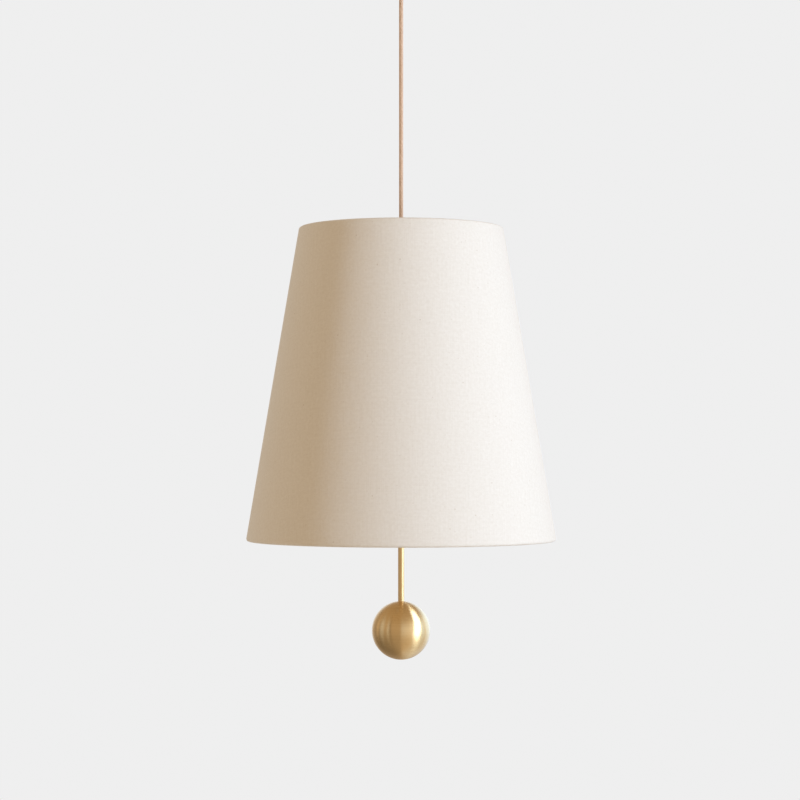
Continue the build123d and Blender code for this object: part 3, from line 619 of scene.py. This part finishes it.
def glass_finish(colours):
    """Etched glass: white, faintly see-through, with a soft gloss."""
    finish = Finish("frosted glass")
    place = finish.place()
    etched = finish.noise(place, 2600, 3.0)
    clouds = finish.noise(place, 60, 3.0)
    return finish.surface(
        {
            "Base Color": finish.mix(clouds, colours.glass, shaded(colours.glass, 0.93)),
            "Roughness": (0.42 + (etched - 0.5) * 0.2).clamped(),
            "Transmission Weight": 0.25,
            "IOR": 1.45,
            "Normal": finish.bump(etched, 0.00001),
        }
    )


FINISHES = {}


def finish_of(slot):
    """The material of a record slot, made once."""
    if not FINISHES:
        sizes = bpy.context.scene.lamp_sizes
        colours = bpy.context.scene.lamp_colours
        dark_zinc = shaded(colours.zinc, 0.72)
        FINISHES.update(
            linen=linen_finish(sizes, colours),
            liner=moulded_finish("liner sheet", colours.liner, 0.5, 1800, 0.00002),
            cord_textile=cord_finish(colours),
            frosted_glass=glass_finish(colours),
            satin_brass=brass_finish("satin brass", colours, 0.95),
            bare_brass=plated_finish("bare brass", colours.brass, colours.brass_dull, 0.34),
            zinc_steel=plated_finish("zinc plate", colours.zinc, dark_zinc, 0.38),
            bulb_cap_metal=plated_finish("bulb cap", colours.zinc, dark_zinc, 0.3),
            white_wire=moulded_finish("white wire coat", colours.wire, 0.45, 1500, 0.00003),
            terminal_plastic=moulded_finish("terminal plastic", colours.terminal, 0.5, 2200, 0.00002),
            phenolic=moulded_finish("phenolic", colours.phenolic, 0.35, 1700, 0.00002),
        )
        for lead in ("live", "neutral", "earth", "socket"):
            skin = moulded_finish(lead + " insulation", getattr(colours, lead), 0.4, 1800, 0.00001)
            FINISHES[lead + "_insulation"] = skin
    return FINISHES[slot]


def dress_in_slot(*nodes):
    """Replaces nodes by smooth copies, each in the material of its own slot."""
    for node in nodes:
        dress(finish_of(SLOT_OF[node]), node)


# Geometry Nodes trees


def braid_tree():
    """Yarns wound both ways round a route, each over two and under two of the others, on a plain core."""
    lengths = dict.fromkeys(("Cord radius", "Yarn radius", "Crossing", "Lay"), "Float")
    counts = dict.fromkeys(("Yarns", "Points", "Sides", "Core sides"), "Int")
    tree = Growth("braided_cover", {**lengths, **counts})
    yarns = tree.given("Yarns")
    crossing = tree.given("Crossing")
    wound_radius = tree.given("Cord radius") - tree.given("Yarn radius") - crossing
    route = tree.add(
        "GeometryNodeResampleCurve",
        {"mode": "COUNT"},
        {"Curve": tree.given("Geometry"), "Count": tree.given("Points")},
    )
    normal = tree.add("GeometryNodeInputNormal")
    tangent = tree.add("GeometryNodeInputTangent")
    sideways = tree.vector("CROSS_PRODUCT", tangent, normal)
    distance = tree.add("GeometryNodeSplineParameter", output="Length")
    parts = []
    for way, seed in ((1, 6), (-1, 4)):
        copies = tree.add(
            "GeometryNodeDuplicateElements", {"domain": "SPLINE"}, {"Geometry": route, "Amount": yarns}
        )
        yarn = tree.second(copies, "Duplicate Index")
        turn = distance * (way * FULL_TURN) / tree.given("Lay") + yarn * FULL_TURN / yarns
        weave = (turn * yarns * 0.5 - math.pi / 4).math("COSINE") * crossing * way
        reach = wound_radius + weave
        out = tree.scaled(normal, reach * turn.math("COSINE"))
        side = tree.scaled(sideways, reach * turn.math("SINE"))
        wound = tree.add(
            "GeometryNodeSetPosition", None, {"Geometry": copies, "Offset": tree.vector("ADD", out, side)}
        )
        shade = tree.add(
            "FunctionNodeRandomValue", {"data_type": "FLOAT"}, {"ID": yarn, "Seed": seed}, "Value"
        )
        named = tree.add(
            "GeometryNodeStoreNamedAttribute",
            {"data_type": "FLOAT", "domain": "POINT"},
            {"Geometry": wound, "Name": YARN_SHADE, "Value": shade},
        )
        parts.append(tree.tube(named, tree.given("Yarn radius"), tree.given("Sides")))
    parts.append(tree.tube(tree.given("Geometry"), wound_radius, tree.given("Core sides")))
    tree.close(parts)
    return tree


def ring_tree():
    """Copies of a shape set round the centre line."""
    tree = Growth("ring_of_copies", {"Copies": "Int"})
    places = tree.add("GeometryNodePoints", None, {"Count": tree.given("Copies")})
    step = tree.add("GeometryNodeInputIndex") * FULL_TURN / tree.given("Copies")
    turn = tree.add("ShaderNodeCombineXYZ", None, {"Z": step})
    rotation = tree.add("FunctionNodeEulerToRotation", None, {0: turn})
    copies = tree.add(
        "GeometryNodeInstanceOnPoints",
        None,
        {"Points": places, "Instance": tree.given("Geometry"), "Rotation": rotation},
    )
    tree.close([copies])
    return tree


def rod_tree():
    """A bent wire: a route with its corners bent to a radius, made round, with a weld bead at each end."""
    lengths = dict.fromkeys(("Wire radius", "Bend radius", "Bead radius"), "Float")
    counts = dict.fromkeys(("Sides", "Bend steps", "Bead rings"), "Int")
    tree = Growth("bent_wire", {**lengths, **counts})
    bent = tree.add(
        "GeometryNodeFilletCurve",
        {"mode": "POLY"},
        {
            "Curve": tree.given("Geometry"),
            "Count": tree.given("Bend steps"),
            "Radius": tree.given("Bend radius"),
            "Limit Radius": True,
        },
    )
    wire = tree.tube(bent, tree.given("Wire radius"), tree.given("Sides"))
    points = tree.add("GeometryNodeCurveToPoints", {"mode": "EVALUATED"}, {"Curve": tree.given("Geometry")})
    bead = tree.add(
        "GeometryNodeMeshUVSphere",
        None,
        {
            "Segments": tree.given("Sides"),
            "Rings": tree.given("Bead rings"),
            "Radius": tree.given("Bead radius"),
        },
    )
    ends = tree.add("GeometryNodeCurveEndpointSelection")
    beads = tree.add(
        "GeometryNodeInstanceOnPoints", None, {"Points": points, "Selection": ends, "Instance": bead}
    )
    tree.close([wire, beads])
    return tree


# Operators


class LAMP_OT_stage(Operator):
    """Set the camera, the soft light, the pale wall and the floor"""

    bl_idname = "lamp.make_stage"
    bl_label = "Stage"

    floor_thickness = 0.01
    # Parts of a unit direction between which the room goes over into what is low, into the ceiling,
    # into the dark corner and into the backdrop.
    lowers = (0, -0.4)
    rises = (0.32, 0.6325)
    darkens = (-0.0625, 0.5625)
    recedes = (0.2, 0.6)
    # What the metal mirrors, by degrees to the right of the camera's side: the pale wall, the dim room
    # or daylight, how bright that is level with the lamp, and how bright below it.
    walls = (
        (-180, "wall", 1.05, 0.75),
        (-160, "wall", 0.95, 0.65),
        (-140, "room", 0.85, 0.45),
        (-120, "room", 0.65, 0.28),
        (-107, "room", 1.20, 0.35),
        (-97, "room", 0.70, 0.25),
        (-88, "wall", 0.85, 0.55),
        (-77, "wall", 0.90, 0.45),
        (-70, "room", 1.00, 0.35),
        (-61, "room", 1.00, 0.45),
        (-57, "wall", 0.95, 0.70),
        (-51, "wall", 0.95, 0.70),
        (-48, "room", 0.60, 0.45),
        (-43, "room", 0.60, 0.45),
        (-39, "room", 1.00, 0.65),
        (-2, "room", 0.95, 0.70),
        (1, "wall", 0.95, 0.90),
        (25, "wall", 1.20, 0.95),
        (42, "wall", 1.50, 1.05),
        (88, "day", 1.75, 0.85),
        (104, "day", 1.70, 0.85),
        (108, "wall", 1.25, 0.85),
        (111, "wall", 1.25, 0.85),
        (116, "day", 1.85, 0.90),
        (150, "day", 1.80, 0.85),
        (180, "wall", 1.05, 0.75),
    )

    def execute(self, context):
        stage = context.scene.lamp_stage
        context.scene.view_settings.view_transform = "Standard"
        self.set_camera(context.scene, stage)
        box = self.set_light("box", stage)
        box.visible_glossy = False
        window = self.set_light("window", stage)
        window.visible_diffuse = False
        window.rotation_euler.rotate_axis("Z", -stage.window_lean)
        self.set_world(context.scene, stage)
        self.set_floor(stage)
        return {"FINISHED"}

    def set_camera(self, scene, stage):
        lens = bpy.data.cameras.new("camera")
        lens.lens = stage.lens
        lens.sensor_width = 36
        lens.shift_y = stage.rise
        lens.clip_end = 20
        camera = link("camera", lens)
        camera.location = (stage.camera_aside, -stage.camera_distance, stage.camera_height)
        camera.rotation_euler = (math.pi / 2, 0, 0)
        scene.camera = camera

    def set_light(self, name, stage):
        """A flat light that faces the lamp, with its place, size and power from the stage's values."""
        lamp = bpy.data.lights.new(name, "AREA")
        lamp.shape = "RECTANGLE"
        lamp.size = getattr(stage, name + "_width")
        lamp.size_y = getattr(stage, name + "_height")
        lamp.energy = getattr(stage, name + "_watts")
        lamp.color = stage.light
        panel = link(name, lamp)
        to_right = getattr(stage, name + "_angle")
        away = Vector((math.sin(to_right), -math.cos(to_right), 0))
        middle_height = getattr(stage, name + "_middle")
        panel.location = away * stage.light_distance + Vector((0, 0, middle_height))
        panel.rotation_euler = away.to_track_quat("Z", "Y").to_euler()
        panel.visible_camera = False
        return panel

    def set_world(self, scene, stage):
        world = bpy.data.worlds.new("room")
        world.use_nodes = True
        scene.world = world
        graph = Graph(world.node_tree)
        graph.tree.nodes.clear()
        direction = graph.add("ShaderNodeTexCoord", output="Generated")
        sideways = graph.add("ShaderNodeSeparateXYZ", None, {0: direction})
        depth = graph.second(sideways, "Y")
        height = graph.second(sideways, "Z")
        turn = sideways.math("ARCTAN2", depth * -1) / FULL_TURN + 0.5
        shades = {"wall": stage.backdrop, "room": stage.room, "day": stage.light}
        low_shades = {"wall": stage.room, "room": stage.room, "day": stage.backdrop}
        level_stops = []
        low_stops = []
        for degrees, side, share, low_share in self.walls:
            place = 0.5 + degrees / 360
            level_stops.append((place, shaded(shades[side], share)))
            low_stops.append((place, shaded(low_shades[side], low_share)))
        level = graph.add("ShaderNodeValToRGB", {"stops": level_stops}, {"Fac": turn})
        low = graph.add("ShaderNodeValToRGB", {"stops": low_stops}, {"Fac": turn})
        around = graph.mix(graph.fade(height, *self.lowers), level, low)
        mirrored = graph.mix(graph.fade(height, *self.rises), around, stage.ceiling)
        front = graph.mix(graph.fade(sideways, *self.darkens), stage.room, stage.corner)
        lit = graph.mix(graph.fade(depth, *self.recedes), front, stage.backdrop)
        rays = graph.add("ShaderNodeLightPath", output="Is Camera Ray")
        seen = (rays + graph.second(rays, "Is Transmission Ray")).clamped()
        unseen = graph.mix(graph.second(rays, "Is Glossy Ray"), lit, mirrored)
        shown = graph.add("ShaderNodeBackground", None, {"Color": graph.mix(seen, unseen, stage.backdrop)})
        end = graph.tree.nodes.new("ShaderNodeOutputWorld")
        graph.join(end.inputs["Surface"], shown)

    def set_floor(self, stage):
        radius = stage.floor_radius
        mesh = sleeve("floor", 0, radius, 0, -self.floor_thickness)
        mesh.transform(Matrix.Translation((0, 0, -stage.floor_drop)))
        floor = link("floor", mesh)
        finish = Finish("pale floor")
        place = finish.place()
        flat = finish.vector("MULTIPLY", place, (1, 1, 0))
        outward = finish.vector("LENGTH", flat, None, "Value")
        worn = finish.noise(place, 9, 4.0)
        floor_colour = finish.mix(worn, stage.floor, shaded(stage.floor, 0.97))
        edge = finish.fade(outward, radius, radius * 2 / 3)
        mesh.materials.append(finish.surface({"Base Color": floor_colour, "Roughness": 0.8, "Alpha": edge}))
        floor.visible_glossy = False


class LAMP_OT_cord(Operator):
    """Make the braided cord and its clamped ends"""

    bl_idname = "lamp.make_cord"
    bl_label = "Cord"

    yarn_points = 460
    yarn_sides = 6
    core_sides = 24

    def execute(self, context):
        sizes = context.scene.lamp_sizes
        finish = finish_of("cord_textile")
        start = middle("cord_upper_bend")
        end = middle("cord_lower_bend")
        diameter = span("pendant_cord").x
        route = drawn("cord_route", [start, (start + end) / 2, end], "NURBS")
        path = [vertex.co.copy() for vertex in settled(route).vertices]
        mesh = braid_tree().grow(
            route,
            {
                "Cord radius": diameter / 2,
                "Yarn radius": sizes.yarn / 2,
                "Crossing": sizes.crossing,
                "Lay": sizes.braid_lay,
                "Yarns": sizes.yarns,
                "Points": self.yarn_points,
                "Sides": self.yarn_sides,
                "Core sides": self.core_sides,
                "Material": finish,
            },
        )
        cord = add_piece("braided_cord", mesh, finish, "pendant_cord")
        dress(finish, "cord_upper_bend", "cord_lower_bend", "ceiling_cord_tail", "lamp_cord_tail")
        return {"FINISHED"}


class ShadeForm:
    """The shade's cone and rolled hems, worked out from its sizes and its place in the frame."""

    hem_steps = 18
    wall_steps = 26

    def __init__(self, sizes):
        self.roll = sizes.hem_roll / 2
        top = highest("shade_fabric").z - self.roll
        bottom = lowest("shade_fabric").z + self.roll
        run = (sizes.shade_bottom - sizes.shade_top) / 2
        self.slope = math.atan2(run, top - bottom)
        self.outward = Vector((math.cos(self.slope), math.sin(self.slope)))
        self.top = Vector((sizes.shade_top / 2 - self.roll * self.outward.x, top))
        self.bottom = Vector((sizes.shade_bottom / 2 - self.roll * self.outward.x, bottom))

    def wall(self, offset):
        """Points down the wall at this distance out from the roll centres."""
        first = self.top + self.outward * offset
        last = self.bottom + self.outward * offset
        return [first.lerp(last, step / self.wall_steps) for step in range(self.wall_steps + 1)]

    def hem(self, centre, offset, turn):
        """Points of a hem from the wall round its ring, through a signed turn."""
        points = []
        for step in range(1, self.hem_steps + 1):
            way = self.slope + turn * step / self.hem_steps
            points.append(centre + Vector((math.cos(way), math.sin(way))) * offset)
        return points

    def sheet(self, name, angles, profile_at):
        """A sheet with one profile for each angle from the front, mapped as its flat cut."""
        corners = []
        flat = []
        faces = []
        rows = 0
        for angle_from_front in angles:
            profile, start = profile_at(angle_from_front)
            rows = len(profile)
            cut_angle = angle_from_front * math.sin(self.slope)
            slant = start
            for index, point in enumerate(profile):
                if index:
                    slant += (point - profile[index - 1]).length
                corners.append(
                    (point.x * math.sin(angle_from_front), -point.x * math.cos(angle_from_front), point.y)
                )
                flat.append((slant * math.sin(cut_angle), -slant * math.cos(cut_angle)))
        for column in range(len(angles) - 1):
            for row in range(rows - 1):
                corner = column * rows + row
                faces.append((corner, corner + 1, corner + rows + 1, corner + rows))
        mesh = bpy.data.meshes.new(name)
        mesh.from_pydata(corners, [], faces)
        cloth = mesh.uv_layers.new(name=CLOTH_MAP)
        for loop in mesh.loops:
            cloth.data[loop.index].uv = flat[loop.vertex_index]
        return smoothed(mesh)

    def thickened(self, mesh, thickness):
        source = link(mesh.name, mesh)
        solid = source.modifiers.new("thickness", "SOLIDIFY")
        solid.thickness = thickness
        solid.offset = 0
        result = settled(source)
        bpy.data.objects.remove(source)
        return smoothed(result)


def ramp(value):
    value = min(max(value, 0), 1)
    return value * value * (3 - 2 * value)


class LAMP_OT_linen(Operator):
    """Make the linen cover of the shade, rolled over both rings and lapped at its seam"""

    bl_idname = "lamp.make_linen"
    bl_label = "Linen cover"

    columns = 360
    lap_columns = 8
    spoke_degrees = (-60, 60, 180)
    notch_turn = 0.98 * math.pi  # of the top hem where a spoke passes
    fold_start = 0.25  # of the lap's width, past the seam
    fold_width = 0.25
    lap_glue = 0.25  # of the glue's thickness

    def execute(self, context):
        sizes = context.scene.lamp_sizes
        form = ShadeForm(sizes)
        offset = form.roll - sizes.linen / 2
        turn = math.pi + sizes.hem_tuck
        spokes = [math.radians(degrees) for degrees in self.spoke_degrees]

        def notched(angle_from_front):
            nearest = min(abs(math.remainder(angle_from_front - spoke, FULL_TURN)) for spoke in spokes)
            return ramp((nearest - sizes.notch) / sizes.notch)

        def profile_at(angle_from_front):
            lifted = ramp((angle_from_front - sizes.seam + sizes.lap) / sizes.lap)
            folded = ramp(((angle_from_front - sizes.seam) / sizes.lap - self.fold_start) / self.fold_width)
            reach = offset + (lifted + folded) * (sizes.linen + sizes.glue * self.lap_glue)
            top_turn = self.notch_turn + (turn - self.notch_turn) * notched(angle_from_front)
            profile = form.hem(form.top, reach, top_turn)[::-1]
            profile += form.wall(reach)
            profile += form.hem(form.bottom, reach, -turn)
            return profile, form.top.x / math.sin(form.slope) - reach * top_turn

        start = sizes.seam - FULL_TURN
        angles = [start + FULL_TURN * step / self.columns for step in range(self.columns)]
        angles += [sizes.seam + sizes.lap * step / self.lap_columns for step in range(self.lap_columns + 1)]
        mesh = form.thickened(form.sheet("linen_cover", angles, profile_at), sizes.linen)
        cover = add_piece("linen_cover", mesh, finish_of("linen"), "shade_fabric")
        cover.visible_glossy = False
        return {"FINISHED"}


class LAMP_OT_liner(Operator):
    """Make the white sheet behind the linen"""

    bl_idname = "lamp.make_liner"
    bl_label = "Liner"

    columns = 240
    tuck = 1.2  # thicknesses that the sheet steps in by under its own lap

    def execute(self, context):
        sizes = context.scene.lamp_sizes
        form = ShadeForm(sizes)
        offset = form.roll - sizes.linen - sizes.glue - sizes.liner / 2
        low = lowest("shade_liner").z
        high = highest("shade_liner").z

        def profile_at(angle_from_front):
            tucked = ramp((angle_from_front - sizes.seam + 2 * sizes.lap) / sizes.lap)
            points = form.wall(offset - tucked * sizes.liner * self.tuck)
            share = (high - low) / (points[0].y - points[-1].y)
            centre = (points[0] + points[-1]) / 2
            return [centre + (point - centre) * min(share, 1) for point in points], 0

        start = sizes.seam - sizes.lap - FULL_TURN
        angles = [start + (FULL_TURN + sizes.lap) * step / self.columns for step in range(self.columns + 1)]
        mesh = form.thickened(form.sheet("shade_liner_sheet", angles, profile_at), sizes.liner)
        sheet = add_piece("shade_liner_sheet", mesh, finish_of("liner"), "shade_liner")
        sheet.visible_glossy = False
        return {"FINISHED"}


class LAMP_OT_shade_frame(Operator):
    """Make the spider of three spokes with its hub plate, and the two rings"""

    bl_idname = "lamp.make_shade_frame"
    bl_label = "Shade frame"

    spokes = 3
    spoke_sides = 20
    bend_steps = 10
    bead_rings = 12
    bead_share = 0.62  # radius of a weld bead, as a share of the spoke's diameter

    def execute(self, context):
        sizes = context.scene.lamp_sizes
        finish = finish_of("white_wire")
        plate = span("hub_washers").x / 2 + sizes.hub_rim
        hub_top = lowest("shade_spider").z + sizes.hub_plate
        ring_wire = span("top_ring").z / 2
        ring = Vector((0, span("top_ring").x / 2 - ring_wire, middle("top_ring").z))
        route = [
            (0, plate - sizes.spoke_weld, hub_top),
            (0, ring.y - sizes.spoke_rise, hub_top),
            tuple(ring),
        ]
        spoke = rod_tree().grow(
            drawn("spoke_route", route, "POLY"),
            {
                "Wire radius": sizes.spoke / 2,
                "Bend radius": sizes.spoke_bend,
                "Bead radius": sizes.spoke * self.bead_share,
                "Sides": self.spoke_sides,
                "Bend steps": self.bend_steps,
                "Bead rings": self.bead_rings,
                "Material": finish,
            },
        )
        spokes = ring_tree().grow(link("spoke", spoke), {"Copies": self.spokes, "Material": finish})
        bore = span("lamp_nipple").x / 2
        hub_end = hub_top - sizes.hub_plate
        hub = sleeve("hub_plate", bore, plate, hub_top, hub_end, sizes.edge, sizes.edge)
        add_piece("spider", smoothed(joined("spider", [spokes, hub])), finish, "shade_spider")
        dress(finish, "top_ring", "bottom_ring")
        return {"FINISHED"}


class LAMP_OT_drop(Operator):
    """Make the brass rod, its collar and the ball"""

    bl_idname = "lamp.make_drop"
    bl_label = "Rod and ball"

    arc_steps = 72
    rod_steps = 96
    ball_steps = 192
    collar_edge = 3  # rounding of the collar's lower edge, in times that of the others

    def execute(self, context):
        sizes = context.scene.lamp_sizes
        finish = finish_of("satin_brass")
        drawn_brass = brass_finish("drawn brass", context.scene.lamp_colours, 0.3, roughness=0.45)
        rod = span("drop_rod").x / 2
        top = highest("drop_rod").z
        end = lowest("drop_rod").z
        mesh = sleeve("brass_rod", 0, rod, top, end, sizes.edge, sizes.edge, self.rod_steps)
        add_piece("brass_rod", mesh, drawn_brass, "drop_rod")
        collar = span("rod_collar").x / 2
        top = highest("rod_collar").z
        end = lowest("rod_collar").z
        mesh = sleeve("rod_stop", rod, collar, top, end, sizes.edge, self.collar_edge * sizes.edge)
        add_piece("rod_stop", mesh, finish, "rod_collar")
        mesh = turned("brass_ball", self.ball_outline(sizes, rod), self.ball_steps)
        add_piece("brass_ball", mesh, finish, "ball_shell")
        dress_in_slot("rod_nut", "ball_bushing")
        return {"FINISHED"}

    def ball_outline(self, sizes, rod):
        """The shell from its hole down the outside to the pole and back up the inside."""
        radius = span("ball_shell").x / 2
        height = lowest("ball_shell").z + radius
        points = []
        for wall, way in ((radius, 1), (radius - sizes.ball_wall, -1)):
            arc = []
            mouth = math.asin(rod / wall)
            for step in range(self.arc_steps + 1):
                tilt = mouth + (math.pi - mouth) * step / self.arc_steps
                arc.append((wall * math.sin(tilt), height + wall * math.cos(tilt)))
            arc[-1] = (0, height - wall)
            points += arc[::way]
        return points


class LAMP_OT_hub(Operator):
    """Dress the cord grip, threaded tube, nuts and washers at the top of the lamp"""

    bl_idname = "lamp.make_hub"
    bl_label = "Hub"

    def execute(self, context):
        dress_in_slot("lamp_cord_grip", "lamp_grip_screw", "lamp_nipple", "hub_nuts", "hub_washers")
        return {"FINISHED"}


class LAMP_OT_cluster(Operator):
    """Dress the brass cluster that carries the sockets"""

    bl_idname = "lamp.make_cluster"
    bl_label = "Socket cluster"

    def execute(self, context):
        dress_in_slot("cluster_cap", "cluster_body", "cluster_screws")
        return {"FINISHED"}


class LAMP_OT_sockets(Operator):
    """Dress both sockets with what is in them"""

    bl_idname = "lamp.make_sockets"
    bl_label = "Sockets"

    pieces = ("nipple", "cap", "shell", "insulator", "screw_shell", "contact", "leads")

    def execute(self, context):
        colours = context.scene.lamp_colours
        for side in ("left", "right"):
            axis = middle(side + "_bulb_globe") - middle(side + "_socket_nipple")
            tilt = math.atan2(axis.x, -axis.z)
            brass = brass_finish(side + " socket brass", colours, 0.3, tilt)
            for piece in self.pieces:
                node = side + "_socket_" + piece
                if SLOT_OF[node] == "satin_brass":
                    dress(brass, node)
                else:
                    dress_in_slot(node)
        return {"FINISHED"}


class LAMP_OT_bulbs(Operator):
    """Dress both bulbs"""

    bl_idname = "lamp.make_bulbs"
    bl_label = "Bulbs"

    def execute(self, context):
        dress_in_slot("left_bulb_base", "left_bulb_globe", "right_bulb_base", "right_bulb_globe")
        return {"FINISHED"}


class LAMP_OT_ceiling(Operator):
    """Dress the canopy, its bracket and the cord grip under it"""

    bl_idname = "lamp.make_ceiling"
    bl_label = "Ceiling fitting"

    def execute(self, context):
        dress_in_slot("ceiling_bracket", "canopy", "ceiling_cord_grip", "ceiling_grip_screw")
        dress_in_slot("grip_washer", "grip_locknut")
        return {"FINISHED"}


class LAMP_OT_canopy_screws(Operator):
    """Make the two slotted thumb screws of the canopy, with ridges round their heads"""

    bl_idname = "lamp.make_canopy_screws"
    bl_label = "Canopy screws"

    ridge_sides = 8
    ridge_share = 0.25  # radius of a ridge, as a share of the distance between ridges

    def execute(self, context):
        sizes = context.scene.lamp_sizes
        finish = finish_of(SLOT_OF["canopy_screws"])
        head = span("canopy_screws").z / 2
        seat = span("canopy").x / 2
        half = (highest("canopy_screws").x - seat) / 2
        ridge = FULL_TURN * head / sizes.knurls * self.ridge_share
        outline = [(0, -half), (ridge, ridge - half), (ridge, half - ridge), (0, half)]
        bar = turned("ridge", outline, self.ridge_sides)
        bar.transform(Matrix.Translation((head, 0, 0)))
        ridges = ring_tree().grow(link("ridge", bar), {"Copies": sizes.knurls, "Material": finish})
        parts = [merged_copy("canopy_screws")]
        for side in (1, -1):
            part = ridges.copy()
            place = Matrix.Translation((side * (seat + half), 0, middle("canopy_screws").z))
            part.transform(place @ Matrix.Rotation(math.pi / 2, 4, "Y"))
            parts.append(part)
        add_piece("thumb_screws", smoothed(joined("thumb_screws", parts)), finish, "canopy_screws")
        return {"FINISHED"}


class LAMP_OT_wiring(Operator):
    """Dress the terminal block, its screws and the leads under the canopy"""

    bl_idname = "lamp.make_wiring"
    bl_label = "Wiring"

    def execute(self, context):
        dress_in_slot("terminal_block", "terminal_screws")
        dress_in_slot("live_lead", "neutral_lead", "earth_lead", "earth_screw")
        return {"FINISHED"}


OPERATORS = (
    LAMP_OT_stage,
    LAMP_OT_cord,
    LAMP_OT_linen,
    LAMP_OT_liner,
    LAMP_OT_shade_frame,
    LAMP_OT_drop,
    LAMP_OT_hub,
    LAMP_OT_cluster,
    LAMP_OT_sockets,
    LAMP_OT_bulbs,
    LAMP_OT_ceiling,
    LAMP_OT_canopy_screws,
    LAMP_OT_wiring,
)


class LAMP_PT_sidebar(Panel):
    """The lamp's pieces in the order in which they are made"""

    bl_idname = "LAMP_PT_sidebar"
    bl_label = "Pendant lamp"
    bl_space_type = "VIEW_3D"
    bl_region_type = "UI"
    bl_category = "Lamp"

    def draw(self, context):
        column = self.layout.column(align=True)
        for operator in OPERATORS:
            column.operator(operator.bl_idname)
        for group in (context.scene.lamp_sizes, context.scene.lamp_colours, context.scene.lamp_stage):
            box = self.layout.box()
            for name in group.__annotations__:
                box.prop(group, name)


GROUPS = {"lamp_sizes": LampSizes, "lamp_colours": LampColours, "lamp_stage": LampStage}


def register():
    for group in GROUPS.values():
        bpy.utils.register_class(group)
    for name, group in GROUPS.items():
        setattr(bpy.types.Scene, name, PointerProperty(type=group))
    for made in (*OPERATORS, LAMP_PT_sidebar):
        bpy.utils.register_class(made)


def unregister():
    for made in (LAMP_PT_sidebar, *reversed(OPERATORS)):
        bpy.utils.unregister_class(made)
    for name, group in GROUPS.items():
        delattr(bpy.types.Scene, name)
        bpy.utils.unregister_class(group)


def main():
    register()
    bpy.ops.lamp.make_stage()
    bpy.ops.lamp.make_cord()
    bpy.ops.lamp.make_linen()
    bpy.ops.lamp.make_liner()
    bpy.ops.lamp.make_shade_frame()
    bpy.ops.lamp.make_drop()
    bpy.ops.lamp.make_hub()
    bpy.ops.lamp.make_cluster()
    bpy.ops.lamp.make_sockets()
    bpy.ops.lamp.make_bulbs()
    bpy.ops.lamp.make_ceiling()
    bpy.ops.lamp.make_canopy_screws()
    bpy.ops.lamp.make_wiring()


if __name__ == "__main__":
    main()
